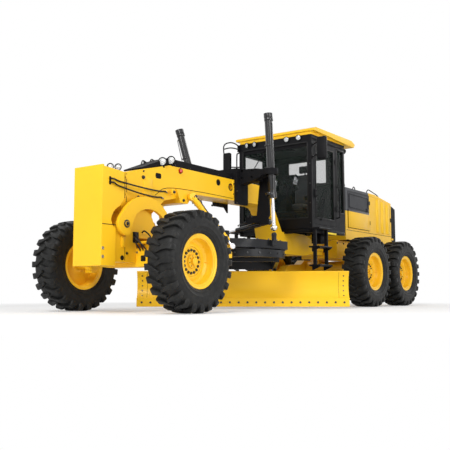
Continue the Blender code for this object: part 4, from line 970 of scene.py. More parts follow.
# ------------------------------------------------------------------ wheels
@dataclass
class Wheel:
    """One road wheel: a lugged traction tyre on a deep dished rim, drawn about the wheel's centre."""

    name: str
    radius: float = 0.675
    crown: float = 0.643
    lugs: int = 24
    seat: float = 0.318
    flange: float = 0.361
    bolts: int = 16
    bolt_circle: float = 0.15

    def build(self) -> None:
        """Replace the plain tyre and rim with detailed ones."""
        low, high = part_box(f"{self.name}_tyre")
        centre = (low + high) / 2
        place = stood(centre, (0, 1 if centre.y > 0 else -1, 0))
        body = f"{self.name}_wheel"
        tyre = [carried(shape, place) for shape in (self.carcass(), self.tread(1), self.tread(-1))]
        fit(f"{self.name}_lugged_tyre", tyre, Finish.TYRE, body=body, stands_for=[f"{self.name}_tyre"])
        rim = [carried(shape, place) for shape in self.rim()]
        fit(f"{self.name}_dished_rim", rim, Finish.RIM, body=body, stands_for=[f"{self.name}_rim"])
        fit(f"{self.name}_wheel_bolts", [carried(self.studs(), place)], Finish.BOLT, "rim_yellow", body)

    def carcass(self) -> Shape:
        """Turn the tyre's body with its bead and sidewall rings.

        Returns:
            The shape, about the Z axis with the outer side at +Z.
        """
        wall = [
            (self.flange + 0.001, 0.16), (self.flange + 0.004, 0.176), (0.383, 0.191), (0.399, 0.1985),
            (0.403, 0.2035), (0.411, 0.205), (0.416, 0.203), (0.44, 0.2095), (0.452, 0.2125), (0.456, 0.2165),
            (0.466, 0.2175), (0.471, 0.2155), (0.505, 0.22), (0.54, 0.218), (0.568, 0.2115), (0.592, 0.202),
            (0.612, 0.189), (0.627, 0.168), (0.636, 0.13), (self.crown - 0.002, 0.07),
        ]
        bead = [(self.seat + 0.002, 0.16)]
        half = [*bead, *wall, (self.crown, 0.0)]
        profile = half + [(radius, -along) for radius, along in reversed(half[:-1])]
        return lathe(profile, steps=96)

    def tread(self, side: int) -> Shape:
        """Set the lugs of one half of the tread.

        Args:
            side: 1 for the outer half, -1 for the inner.

        Returns:
            The lugs, about the Z axis.
        """
        crown, tip = self.crown, self.radius
        stations = (
            ((crown - 0.012, -0.026), (tip - 0.002, -0.022), 0.072, 0.016),
            ((crown - 0.012, 0.03), (tip, 0.03), 0.046, 0.023),
            ((crown - 0.014, 0.078), (tip, 0.08), 0.02, 0.03),
            ((crown - 0.022, 0.128), (tip - 0.001, 0.132), 0.004, 0.036),
            ((crown - 0.034, 0.16), (tip - 0.004, 0.178), 0.0, 0.041),
            ((crown - 0.05, 0.182), (tip - 0.012, 0.202), 0.0, 0.043),
            ((crown - 0.068, 0.196), (tip - 0.034, 0.2175), 0.0, 0.042),
            ((crown - 0.09, 0.203), (tip - 0.072, 0.2215), -0.002, 0.038),
            ((crown - 0.108, 0.206), (tip - 0.098, 0.2195), -0.004, 0.032),
        )
        sections = []
        for (base_r, base_z), (top_r, top_z), shift, half in stations:
            section = []
            for radius, along, reach in (
                (base_r, base_z, -half - 0.007), (top_r, top_z, -half), (top_r, top_z, half),
                (base_r, base_z, half + 0.007),
            ):
                angle = (shift + reach) / self.radius
                section.append((radius * math.cos(angle), radius * math.sin(angle), along * side))
            sections.append(section)
        start = 0.0 if side > 0 else math.pi / self.lugs
        return spun(eased(sweep(sections), 0.004, 50.0, 1), self.lugs, start)

    def rim(self) -> list[Shape]:
        """Turn the rim, its lock ring and its hub cap, and set the valve.

        Returns:
            The shapes, about the Z axis.
        """
        half, lip, flange, seat = 0.172, 0.1605, self.flange, self.seat
        well = seat - 0.016
        profile = [
            (0.0, 0.1), (0.04, 0.1), (0.052, 0.092), (0.056, 0.058), (0.086, 0.052), (0.092, 0.044),
            (0.095, 0.026), (0.122, 0.02), (0.182, 0.016), (0.192, 0.02), (0.2, 0.034), (0.236, 0.036),
            (0.25, 0.03), (0.286, 0.052), (well - 0.006, 0.08), (well, 0.1), (well, 0.138), (0.318, 0.1515),
            (0.33, 0.1555), (0.343, 0.166), (0.35, 0.171), (flange - 0.001, half), (flange, half - 0.004),
            (flange, lip), (seat, lip), (seat, -lip), (flange, -lip), (flange, -half),
            (flange - 0.012, -half), (well, -0.145), (well, 0.0), (0.13, -0.03), (0.1, -0.055), (0.0, -0.055),
        ]
        ring = [(0.306, 0.146), (0.3275, 0.1545), (0.3255, 0.1585), (0.303, 0.15)]
        shapes = [lathe(profile, steps=84), lathe(ring, steps=84)]
        shapes.append(bar((0.262, 0.0, 0.03), (0.274, 0.0, 0.088), 0.006, 0.0045, 12))
        return shapes

    def studs(self) -> Shape:
        """Set the ring of wheel bolts and the small ones of the hub cap."""
        large = spun(bolt((self.bolt_circle, 0, 0.016), UP, 0.03), self.bolts)
        return joined([large, spun(bolt((0.071, 0, 0.05), UP, 0.014), 8, 0.2)])


# ------------------------------------------------------------------ front block, beam and their hoses
@dataclass
class PushBlock:
    """The fittings of the block at the front: black strips as painted shade in its joint lines, clamps,
    plugs, top lamps and the hoses that leave it.
    """

    # thickness of the black strips that paint shade into the joint lines
    shade_strip: float = 0.009
    proud: float = 0.0015
    hose: float = 0.022
    clamp_heights: tuple[float, ...] = (0.98, 1.22)
    plug_heights: tuple[float, ...] = (0.117, 0.228)
    gaze: Point = (0.8, 0.6, 0.1)

    def build(self) -> None:
        """Add every fitting."""
        self.low, self.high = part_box("push_block")
        for add in (self.seam_shade, self.clamps, self.plugs, self.lamps, self.hoses):
            add()

    def seam_shade(self) -> None:
        """Lay thin black strips as painted shade in the joint lines on the block's sides and under its lip.
        """
        x, inner, outer = self.low.x, self.high.y - 0.004, self.high.y + self.proud
        level = block((x + 0.004, inner, 1.16), (self.high.x - 0.012, outer, 1.16 + self.shade_strip), 0)
        upright = block((x, inner, 1.54), (x + self.shade_strip, outer, self.high.z - 0.06), 0)
        # black strips on the yellow block: painted shade in its joints
        fit("push_block_seams", both(level, upright), Finish.GRILLE, "frame_yellow")

    def clamps(self) -> None:
        """Set the clamps that hold the block to the beam, each with its bolt."""
        x, shapes = self.low.x, []
        for rise in self.clamp_heights:
            z = self.low.z + rise
            shapes.append(block((x - 0.05, 0.198, z - 0.035), (x + 0.006, 0.252, z + 0.035), 0.006))
            shapes.append(bolt((x - 0.026, 0.25, z), LEFT, 0.032))
        foot = block((x - 0.03, 0.236, self.low.z + 0.26), (x + 0.03, 0.262, self.low.z + 0.4), 0.006)
        fit("push_block_clamps", both(*shapes, foot), Finish.BODY)

    def plugs(self) -> None:
        """Set two round plugs low on each side."""
        profile = ((0, 1), (10, 1), (12, 5), (20, 5), (23, 0), (23, -6), (0, -6))
        x, y = self.high.x - 0.033, self.high.y
        plugs = [turned(profile, (x, y, self.low.z + rise), LEFT, 24) for rise in self.plug_heights]
        fit("push_block_plugs", both(*plugs), Finish.STEEL, "frame_yellow")

    def lamps(self) -> None:
        """Turn the two low round lamps behind the top edge, with their feet, and set the block of the hoses'
        socket.
        """
        cup = ((0, -40), (26, -38), (40, -18), (46, 12), (50, 24), (50, 32), (43, 32), (42, 18), (0, 14))
        face = ((0, 31), (20, 29.5), (36, 24), (42.5, 19), (42.5, 15), (0, 15))
        cups, faces = [], []
        for back, rise in ((0.11, 0.018), (-0.035, 0.034)):
            place = Vector((self.low.x + back, 0.1, self.high.z + rise))
            cups += [
                turned(cup, place, self.gaze, 32),
                bar(place - Vector((0, 0, 0.085)), place - Vector((0, 0, 0.03)), 0.012, steps=12),
                block(place - Vector((0.025, 0.025, 0.095)), place - Vector((-0.025, -0.025, 0.085)), 0.002),
            ]
            faces.append(turned(face, place, self.gaze, 32))
        socket = block((4.296, self.high.y - 0.006, 1.692), (4.326, self.high.y + 0.012, 1.802), 0.008)
        fit("push_block_lamp_cups", [*cups, socket], Finish.COVER)
        fit("push_block_lamp_faces", faces, Finish.LENS)

    def hoses(self) -> None:
        """Run two hoses from the block's socket back along the beam to their fittings."""
        runs = (((4.311, 1.772), (3.135, 1.737), 0.03), ((4.311, 1.722), (3.225, 1.642), 0.042))
        ferrules, unions = [], []
        for number, ((x_out, z_out), (x_in, z_in), drop) in enumerate(runs):
            start, end = Vector((x_out, self.high.y + 0.014, z_out)), Vector((x_in, 0.214, z_in))
            marks = [start, start + Vector((-0.05, 0.012, 0.0))]
            for step in range(1, 9):
                share = step / 9
                point = start.lerp(end, share)
                point.z -= drop * 4 * share * (1 - share)
                point.y += 0.036 * math.sin(math.pi * min(1.0, share * 1.1)) if share < 0.9 else 0.006
                marks.append(point)
            path = smooth_line([*marks, end + Vector((0.03, 0.006, 0.002)), end], 3)
            line = [tube(path, self.hose / 2, 12, 0)]
            hose = fit(f"block_hose_{number + 1}", line, Finish.HOSE, "cover_black")
            run = (path[-1] - path[-2]).normalized()
            unions.append(bar(end - run * 0.004, end + run * 0.045, 0.015, steps=6))
            unions.append(bar(end + run * 0.02, end + run * 0.065 + Vector((0, -0.012, 0)), 0.011, steps=16))
            inner, outer = start + Vector((0.018, -0.004, 0)), start + Vector((-0.006, 0.001, 0))
            ferrules.append(bar(inner, outer, 0.016, steps=20, ease=0.002))
        fit("block_hose_unions", unions, Finish.STEEL, "frame_yellow")
        fit("block_hose_ferrules", ferrules, Finish.COVER)


@dataclass
class Beam:
    """The arched beam's fittings: lamps, markers, sight hole rims, pads, pipes and the cover's fixings."""

    face: float = 0.2
    lamp_radius: float = 0.062
    lamps: tuple[tuple[float, float], ...] = ((3.185, 2.178), (2.995, 2.226))
    pipe: float = 0.011
    pipes: int = 4

    def build(self) -> None:
        """Add every fitting."""
        _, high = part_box("main_frame")
        self.top = high.z
        for add in (
            self.head_lamps, self.markers, self.hole_rims, self.pads, self.seam_shade, self.bolts, self.pipe_run,
            self.cover_fixings, self.valves,
        ):
            add()

    def head_lamps(self) -> None:
        """Turn the lamps' cases with their rims, yokes and feet, and their domed glasses."""
        r, g = self.lamp_radius, self.lamp_radius * 0.9
        case = [(0.0, -0.06), (r * 0.45, -0.058), (r * 0.8, -0.036), (r * 0.97, -0.006), (r * 1.08, 0.004)]
        case += [(r * 1.08, 0.022), (r * 0.98, 0.026), (r * 0.9, 0.022), (r * 0.9, 0.004), (0.0, 0.0)]
        glass = [(0.0, 0.026), (g * 0.5, 0.0245), (g * 0.85, 0.019), (g, 0.014), (g, 0.005), (0.0, 0.005)]
        cases, glasses = [], []
        for x, z, side in [(*lamp, side) for lamp in self.lamps for side in (1, -1)]:
            frame = stood((x, 0.19 * side, z), (0.9, 0.42 * side, 0.02))
            place = frame.translation
            yoke = place + Vector((-0.03, -0.055 * side, -0.05))
            cases += [
                carried(lathe(case, steps=36), frame),
                bar(place - Vector((0.03, 0, 0.02)), yoke, 0.014, steps=16),
                block(place - Vector((0.03, 0.016, 0.085)), place - Vector((-0.005, -0.016, 0.045)), 0.004),
            ]
            glasses.append(carried(lathe(glass, steps=36), frame))
        fit("head_lamp_cases", cases, Finish.COVER, stands_for=["headlights"])
        fit("head_lamp_lenses", glasses, Finish.LENS)

    def markers(self) -> None:
        """Turn the red marker lamps' lenses and their cups."""
        place, gaze = (2.8, self.face, 2.094), (0.35, 0.94, 0)
        lens = ((0, 40), (22, 37), (31, 26), (33, 10), (0, 8))
        cup = ((0, -30), (36, -28), (41, 12), (35, 14), (34, 8), (0, 6))
        fit("side_markers", both(turned(lens, place, gaze, 28)), Finish.MARKER, "lamp_glass")
        fit("marker_cups", both(turned(cup, place, gaze, 28)), Finish.COVER)

    def hole_rims(self) -> None:
        """Turn the rims of the sight hole and the blind plug beside it, and lay the dark hatch."""
        y = self.face
        rim = ((44, 3), (58, 3), (62, 0), (62, -4), (44, -4))
        plug = ((0, -4), (0, 2), (34, 2), (38, 6), (50, 5), (54, -4))
        hatch = rounded((3.225, 1.915), (3.35, 1.995), 0.03)
        shapes = both(
            turned(rim, (1.51, y, 2.01), LEFT, 40),
            turned(plug, (1.85, y, 2.045), LEFT, 40),
            slab(hatch, y - 0.004, y + 0.0015, ease=0),
        )
        fit("beam_hole_rims", shapes, Finish.COVER)

    def pads(self) -> None:
        """Lay the raised pads, the bracket's bosses and the lamps' shelf."""
        inner, top = self.face - 0.003, self.top
        boss = ((0, 12), (40, 12), (46, 6), (46, -4), (0, -4))
        sloped = [(3.6, 1.52), (3.6, 1.86), (3.52, 1.9), (3.42, 1.88), (3.4, 1.62), (3.5, 1.5)]
        band = [(1.46, 1.86), (1.46, 2.12), (1.42, 2.12), (1.42, 1.84)]
        shapes = both(
            slab(sloped, inner, self.face + 0.008),
            slab(band, inner, self.face + 0.006, ease=0.003),
            turned(boss, (3.03, 0.268, 1.741), LEFT, 32),
            turned(boss, (2.815, 0.268, 1.64), LEFT, 32),
        )
        shelf = block((2.93, -0.165, top + 0.03), (3.13, 0.165, top + 0.045), 0.003)
        fit("beam_pads", [*shapes, shelf], Finish.BODY)

    def seam_shade(self) -> None:
        """Lay the weld lines of the nose casting and the beam in black, as painted shade."""
        y = self.face
        nose = block((3.93, y - 0.004, 1.5), (3.938, y + 0.0015, 1.905), 0)
        lower = block((3.985, 0.236, 0.7), (3.992, 0.2415, 1.1), 0)
        weld = tube([(3.36, y, 1.66), (3.1, y, 1.8), (2.4, y, 1.832), (1.45, y, 1.828)], 0.0045, 8)
        # black lines on the yellow beam: painted shade in its joints and along the weld
        fit("beam_seams", both(nose, lower, weld), Finish.GRILLE, "frame_yellow")

    def bolts(self) -> None:
        """Set the pins' heads and the casting's bolts."""
        y = self.face
        heads = (
            (3.03, 0.278, 1.741, 0.034), (2.815, 0.278, 1.64, 0.034), (3.606, y, 1.892, 0.04),
            (3.7, y, 1.6, 0.026), (3.6, y, 1.98, 0.022), (1.44, y, 1.9, 0.022), (1.44, y, 2.07, 0.022),
            (3.95, 0.24, 0.8, 0.028),
        )
        bolts = [bolt(place, LEFT, size) for *place, size in heads]
        fit("beam_bolts", both(*bolts), Finish.BOLT, "frame_yellow")

    def pipe_run(self) -> None:
        """Run steel pipes over the top of the neck and down behind it."""
        bends = ((0.98, 0.0), (0.8, 0.002), (0.6, -0.004), (0.46, -0.036), (0.33, -0.11), (0.24, -0.2))
        z, shapes = self.top + 0.006, []
        for number in range(self.pipes):
            y = 0.055 + 0.032 * number
            shapes.append(tube([(x, y, z + rise) for x, rise in bends], self.pipe, 8))
        fit("beam_pipes", both(*shapes), Finish.BODY)

    def cover_fixings(self) -> None:
        """Set the cover's screws and its front latch."""
        low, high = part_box("frame_cover")
        screws = [bolt((low.x + 0.12 + 0.36 * n, high.y, self.top + 0.03), LEFT, 0.018) for n in range(7)]
        latch = block((high.x - 0.25, 0.06, 2.03), (high.x - 0.19, 0.1, 2.075), 0.006)
        fit("cover_fixings", both(*screws, latch), Finish.BOLT, "cover_black")

    def valves(self) -> None:
        """Set the fittings where the pipes meet the neck."""
        top = self.top
        shapes = [block((0.86, 0.045, top + 0.018), (0.935, 0.17, top + 0.06), 0.006)]
        for number in range(self.pipes):
            y = 0.055 + 0.032 * number
            shapes.append(bar((0.895, y, top + 0.055), (0.895, y, top + 0.085), 0.014, steps=6))
            shapes.append(bar((0.78, y, top + 0.008), (0.81, y, top + 0.008), 0.0155, steps=6))
        fit("beam_valve_block", both(*shapes), Finish.STEEL, "frame_yellow")


# ------------------------------------------------------------------ cab
@dataclass
class Pad:
    """A sewn cushion, filled by a short cloth simulation."""

    name: str
    low: Point
    high: Point
    channels: tuple[float, ...] = (-0.15, 0.15)
    swell: float = 0.016
    cap: float = 0.024
    voxel: float = 0.009
    pressure: float = 4.0
    frames: int = 20
    fill: float = 0.7

    def build(self, stands_for: Sequence[str] = ()) -> None:
        """Sew, fill and finish the cushion.

        Args:
            stands_for: The frame's nodes that it replaces.
        """
        inset = Vector((self.swell,) * 3)
        shape = block(Vector(self.low) + inset, Vector(self.high) - inset, 0.028)
        piece = fit(self.name, [shape], Finish.CLOTH, stands_for=stands_for)
        remesh = piece.modifiers.new("even", "REMESH")
        remesh.mode, remesh.voxel_size, remesh.use_smooth_shade = "VOXEL", self.voxel, True
        self.settle(piece)
        self.inflate(piece)
        self.sew(piece)
        round_off = piece.modifiers.new("round", "SUBSURF")
        round_off.levels = round_off.render_levels = 1

    @staticmethod
    def settle(piece: bpy.types.Object) -> None:
        """Apply a piece's modifiers to its mesh.

        Args:
            piece: The piece.
        """
        old = piece.data
        seen = piece.evaluated_get(bpy.context.evaluated_depsgraph_get())
        piece.data = bpy.data.meshes.new_from_object(seen)
        piece.modifiers.clear()
        bpy.data.meshes.remove(old)

    def inflate(self, piece: bpy.types.Object) -> None:
        """Fill the cushion and keep each point's move under the cap.

        Args:
            piece: The cushion.
        """
        rest = [vert.co.copy() for vert in piece.data.vertices]
        cloth = piece.modifiers.new("fill", "CLOTH")
        cloth.settings.use_pressure = True
        cloth.settings.uniform_pressure_force = self.pressure
        cloth.settings.effector_weights.gravity = 0.0
        scene = bpy.context.scene
        for frame_number in range(1, self.frames + 1):
            scene.frame_set(frame_number)
        self.settle(piece)
        scene.frame_set(1)
        for vert, start in zip(piece.data.vertices, rest):
            move = vert.co - start
            if move.length > self.cap:
                vert.co = start + move.normalized() * self.cap

    def sew(self, piece: bpy.types.Object) -> None:
        """Draw the sewn channels into the cover, and keep it inside its box.

        Args:
            piece: The cushion.
        """
        moves = []
        for vert in piece.data.vertices:
            depth = max(math.exp(-(((vert.co.y - line) / 0.008) ** 2)) for line in self.channels)
            moves.append(vert.co - vert.normal * 0.008 * depth)
        for vert, place in zip(piece.data.vertices, moves):
            vert.co = [min(max(value, low), high) for value, low, high in zip(place, self.low, self.high)]


@dataclass
class CabInside:
    """What shows through the glass: liner, rear trim, dash, seat, levers and steering wheel."""

    half: float = 0.742
    floor: float = 1.5
    sill: float = 2.42
    header: float = 2.9
    lever_rows: tuple[float, ...] = (-0.15, 0.15)

    def build(self) -> None:
        """Add every piece."""
        for add in (self.liner, self.rear_trim, self.dash, self.mat, self.seat, self.levers, self.hub):
            add()

    def liner(self) -> None:
        """Line the roof, with a lamp's pod and a console over the windscreen."""
        shapes = [
            block((-1.4, -self.half, 3.03), (-0.2, self.half, 3.062), 0.006),
            block((-0.42, -0.3, 2.985), (-0.24, 0.3, 3.035), 0.012),
            block((-0.8, -0.09, 3.01), (-0.62, 0.09, 3.035), 0.01),
        ]
        fit("cab_headliner", shapes, Finish.PLASTIC)

    def rear_trim(self) -> None:
        """Panel the rear wall round its window, with corner posts and a shelf."""
        back, front, half, floor, sill = -1.408, -1.372, self.half, self.floor, self.sill
        wall = [
            block((back, -half, floor + 0.02), (front, half, sill), 0.006),
            block((back, -half, self.header), (front, half, 3.04), 0.006),
            block((back, -0.62, sill - 0.03), (front + 0.1, 0.62, sill), 0.01),
            block((back, -0.52, sill - 0.02), (front + 0.12, -0.23, 2.655), 0.03),
        ]
        posts = both(
            block((back, 0.43, sill - 0.01), (front, half, self.header + 0.01), 0.006),
            block((back, 0.56, floor), (-1.02, half - 0.012, 2.02), 0.022),
            block((-1.12, half - 0.035, floor), (-1.088, half, 3.03), 0.01),
        )
        fit("cab_rear_trim", [*wall, *posts], Finish.PLASTIC)

    def dash(self) -> None:
        """Shape the dash and the monitor at the front right corner."""
        tall = [(-0.22, 1.52), (-0.22, 2.4), (-0.27, 2.44), (-0.36, 2.44), (-0.5, 2.3), (-0.52, 1.9)]
        low = [(-0.22, 1.52), (-0.22, 1.74), (-0.3, 1.78), (-0.44, 1.7), (-0.46, 1.52)]
        shapes = [
            slab([*tall, (-0.46, 1.52)], -0.72, -0.23, ease=0.014),
            block((-0.6, -0.7, 2.12), (-0.575, -0.5, 2.28), 0.01),
            block((-0.58, -0.62, 2.05), (-0.55, -0.58, 2.15), 0.006),
            slab(low, -0.23, 0.72, ease=0.012),
        ]
        fit("cab_dash", shapes, Finish.PLASTIC)

    def mat(self) -> None:
        """Lay the ribbed floor mat."""
        z = self.floor
        shapes = [block((-1.37, -0.72, z), (-0.24, 0.72, z + 0.012))]
        for n in range(9):
            shapes.append(block((-0.76 + 0.03 * n, 0.28, z + 0.01), (-0.75 + 0.03 * n, 0.66, z + 0.016), 0))
        fit("cab_floor_mat", shapes, Finish.HOSE, "console_plastic")

    def seat(self) -> None:
        """Build the seat's suspension, shell, armrests and pods, and its three pads."""
        shapes = [block((-1.27, -0.21, self.floor), (-0.83, 0.21, 1.6), 0.014)]
        for number in range(7):
            inset, z = 0.015 * (number % 2), 1.6 + 0.028 * number
            shapes.append(
                block((-1.24 + inset, -0.18 + inset, z), (-0.86 - inset, 0.18 - inset, z + 0.03), 0.006)
            )
        shapes += [
            block((-1.28, -0.24, 1.79), (-0.79, 0.24, 1.86), 0.016),
            block((-1.37, -0.2, 1.9), (-1.345, 0.2, 2.52), 0.012),
            bar((-1.31, 0.0, 2.58), (-1.305, 0.0, 2.7), 0.012, steps=16),
            *both(
                block((-1.25, 0.285, 2.1), (-0.86, 0.355, 2.16), 0.018),
                block((-1.3, 0.275, 1.88), (-1.22, 0.315, 2.14), 0.012),
                block((-0.93, 0.37, self.floor), (-0.72, 0.46, 2.05), 0.02),
                block((-0.98, 0.34, 2.02), (-0.66, 0.5, 2.1), 0.02),
            ),
        ]
        fit("seat_base", shapes, Finish.PLASTIC)
        Pad("seat_cushion", (-1.29, -0.26, 1.85), (-0.77, 0.26, 1.985)).build(["operator_seat"])
        Pad("seat_back", (-1.365, -0.255, 1.95), (-1.245, 0.255, 2.66), swell=0.014).build()
        Pad("seat_headrest", (-1.345, -0.14, 2.645), (-1.255, 0.14, 2.815), (0.0,), 0.01, 0.015).build()

    def levers(self) -> None:
        """Set the control levers either side of the steering wheel, with their knobs, boots and boxes."""
        knob = ((0, 30), (12, 27), (18, 14), (16, -6), (9, -18), (0, -20))
        boot = ((0, 45), (8, 45), (12, 30), (10, 26), (16, 15), (14, 11), (21, 0), (0, 0))
        sticks, knobs = [], []
        for row in self.lever_rows:
            side = 1 if row > 0 else -1
            for number in range(4):
                foot = Vector((-0.5 - 0.035 * number, row + 0.035 * side, 2.28))
                top = foot + Vector((-0.03, 0.05 * side, 0.2 - 0.01 * number))
                sticks.append(bar(foot, top, 0.006, steps=12))
                knobs += [turned(knob, top, top - foot, 16), turned(boot, foot, top - foot, 16)]
        for low, high in ((0.14, 0.24), (-0.24, -0.14)):
            knobs.append(block((-0.66, low, 2.22), (-0.46, high, 2.285), 0.014))
        fit("control_levers", sticks, Finish.CHROME)
        fit("control_knobs", knobs, Finish.PLASTIC)

    def hub(self) -> None:
        """Set the steering wheel's hub, spokes and knob, and the pedals."""
        turn = Matrix.Translation((-0.61, 0.0, 2.32)) @ Matrix.Rotation(math.radians(-30), 4, "Y")
        shapes = [turned(((0, 12), (30, 10), (46, 0), (46, -30), (26, -60), (0, -60)), steps=32)]
        for angle in map(math.radians, (90, 210, 330)):
            run = Vector((math.cos(angle), math.sin(angle), 0))
            shapes.append(bar(run * 0.035 - Vector((0, 0, 0.012)), run * 0.185, 0.011, 0.008, 12))
        shapes.append(turned(((0, 50), (18, 44), (21, 25), (12, 0), (0, 0)), (0.1, 0.155, 0.012), UP, 20))
        pedal = slab([(-0.42, 1.53), (-0.34, 1.66), (-0.328, 1.652), (-0.405, 1.525)], 0.24, 0.33)
        fit("steering_hub", [*(carried(shape, turn) for shape in shapes), *both(pedal)], Finish.PLASTIC)


@dataclass
class CabOutside:
    """The cab's outer fittings: gaskets, wipers, lamps, mirrors, skirt, steps and rails."""

    front: float = -0.15
    half: float = 0.8
    lamp_radius: float = 0.049
    visor_lamps: tuple[float, ...] = (-0.607, -0.429, 0.285, 0.54)
    tube: float = 0.014
    plate: float = 0.806

    def build(self) -> None:
        """Add every piece."""
        for add in (
            self.gaskets, self.panes, self.wipers, self.lamps, self.skirt, self.grips, self.left_mirror,
            self.right_mirror, self.mirror_faces, self.rails, self.bolts,
        ):
            add()
        for side in ("left", "right"):
            self.door(side)

    def gaskets(self) -> None:
        """Frame the fixed panes with rubber."""
        shapes = border((-0.18, -0.725, 1.605), (-0.146, 0.725, 3.012), 0.022, 0, 0.004)
        shapes += border((-1.456, -0.7, 2.03), (-1.416, 0.7, 3.015), 0.024, 0, 0.004)
        shapes += both(*border((-1.41, 0.775, 1.78), (-1.11, 0.806, 3.02), 0.022, 1, 0.004))
        fit("window_gaskets", shapes, Finish.HOSE, "cab_black")

    def panes(self) -> None:
        """Lay the sun strip over the windscreen and set the rear side panes."""
        fit("sun_strip", [block((-0.177, -0.705, 2.925), (-0.173, 0.705, 3.0), 0)], Finish.COVER, "cab_black")
        pane = slab(rounded((-1.395, 1.795), (-1.125, 3.005), 0.02), 0.772, 0.778, ease=0)
        fit("rear_side_panes", both(pane), Finish.GLASS)

    def wipers(self) -> None:
        """Set two wipers on the windscreen and one on the rear window."""
        shapes = []
        for root, end in (
            ((-0.15, -0.2, 2.965), (-0.156, -0.5, 2.58)), ((-0.15, 0.44, 1.64), (-0.156, 0.24, 2.2))
        ):
            root, end = Vector(root), Vector(end)
            run, off = (end - root).normalized(), Vector((0.008, 0, 0))
            shapes += [
                bar(root - Vector((0.02, 0, 0)), root + Vector((0.022, 0, 0)), 0.018, steps=20, ease=0.003),
                bar(root, end, 0.007, 0.005, 10),
                bar(end - run * 0.24 - off, end + run * 0.2 - off, 0.006, steps=8),
                block(end - Vector((0.012, 0.012, 0.012)), end + Vector((0.008, 0.012, 0.012))),
            ]
        root = Vector((-1.456, 0.1, 2.06))
        shapes += [
            bar(root + Vector((0.02, 0, 0)), root - Vector((0.018, 0, 0)), 0.016, steps=20, ease=0.003),
            bar(root - Vector((0.01, 0, 0)), root + Vector((-0.01, -0.3, 0.26)), 0.006, 0.004, 10),
            bar(root + Vector((-0.004, -0.42, 0.12)), root + Vector((-0.004, -0.18, 0.4)), 0.005, steps=8),
        ]
        fit("wipers", shapes, Finish.COVER, "cab_black")

    def lamps(self) -> None:
        """Turn the visor's lamps and the work lamps behind the roof's rear corners, with their brackets."""
        r, g = self.lamp_radius, self.lamp_radius * 0.9
        cup = [(0.0, -0.045), (r * 0.7, -0.045), (r * 0.98, -0.03), (r * 1.08, 0.004), (r * 1.08, 0.014)]
        cup += [(r * 0.92, 0.015), (r * 0.9, 0.002), (0.0, 0.0)]
        glass = [(0.0, 0.016), (g * 0.6, 0.0145), (g, 0.008), (g, 0.001), (0.0, 0.001)]
        places = [((self.front + 0.018, y, 3.098), (1, 0.5 * y, -0.1)) for y in self.visor_lamps]
        places += [((-1.545, y, 3.05), (-1, math.copysign(0.2, y), -0.2)) for y in (0.5, 0.74, -0.5, -0.74)]
        frames = [stood(place, gaze) for place, gaze in places]
        cups = [carried(lathe(cup, steps=32), frame) for frame in frames[:-2]]
        pipe = [(-1.46, 0.7, 2.42), (-1.52, 0.7, 2.46), (-1.54, 0.7, 2.6), (-1.54, 0.68, 2.84)]
        brackets = [
            *(block((-1.53, y - 0.016, 3.05), (-1.5, y + 0.016, 3.17)) for y in (0.5, 0.74)),
            block((-1.56, 0.6, 2.8), (-1.452, 0.735, 2.93), 0.018),
            tube(pipe, 0.01, 8),
        ]
        fit("visor_lamp_cups", [*cups[:-2], *both(*cups[-2:], *brackets)], Finish.COVER, "cab_black")
        fit("visor_lamp_faces", [carried(lathe(glass, steps=32), frame) for frame in frames], Finish.LENS)

    def skirt(self) -> None:
        """Shape the apron under the cab's floor and the box of the steps, and lay the sill's bright edges."""
        outline = [
            (-0.165, 1.345), (-0.165, 1.43), (-1.43, 1.43), (-1.43, 1.368), (-1.1, 1.368), (-1.0, 1.345)
        ]
        shapes = both(
            slab(outline, 0.715, self.half + 0.002, ease=0.006),
            block((-0.92, 0.5, 1.18), (-0.64, 0.7, 1.36), 0.014),
            block((-0.89, 0.695, 1.2), (-0.67, 0.707, 1.33), 0.006),
        )
        shapes.append(block((-0.235, -0.74, 1.35), (-0.165, 0.74, 1.43), 0.008))
        fit("cab_skirt", shapes, Finish.CAB)
        edge = block((-1.06, self.half, 1.35), (-0.66, self.half + 0.01, 1.385), 0.003)
        fit("step_edges", both(edge), Finish.SAFETY, "frame_yellow")

    def grips(self) -> None:
        """Raise grip teeth on each tread and gussets under it."""
        shapes = []
        for z in (0.77, 1.1, 1.43):
            for x in (-0.555 + 0.041 * number for number in range(11)):
                for y in (0.8, 0.86, 0.92):
                    shapes.append(bar((x, y, z - 0.004), (x, y, z + 0.006), 0.011, 0.007, 8))
        for x in (-0.13, -0.55):
            for z in (0.74, 1.07):
                gusset = [(0.8, z), (0.96, z), (0.955, z - 0.012), (0.82, z - 0.07), (0.8, z - 0.07)]
                shapes.append(slab(gusset, x - 0.006, x + 0.006, Plane.YZ, 0))
        fit("tread_grips", both(*shapes), Finish.CAB)

    def left_mirror(self) -> None:
        """Shape the left mirror's rounded housing and its arms."""
        shapes = [slab(rounded((0.985, 2.625), (1.168, 3.035), 0.035), -0.075, -0.002, Plane.YZ, 0.02)]
        for z in (2.72, 2.94):
            arm = [(-0.175, 0.79, z), (-0.14, 0.86, z), (-0.06, 0.93, z), (-0.04, 1.02, z)]
            shapes.append(tube(arm, self.tube, 12))
            shapes.append(block((-0.215, 0.795, z - 0.035), (-0.155, 0.812, z + 0.035)))
        shapes.append(bar((-0.04, 1.005, 2.66), (-0.04, 1.005, 3.0), 0.018, steps=16, ease=0.003))
        fit("mirror_left_head", shapes, Finish.CAB, stands_for=["mirror_left"])

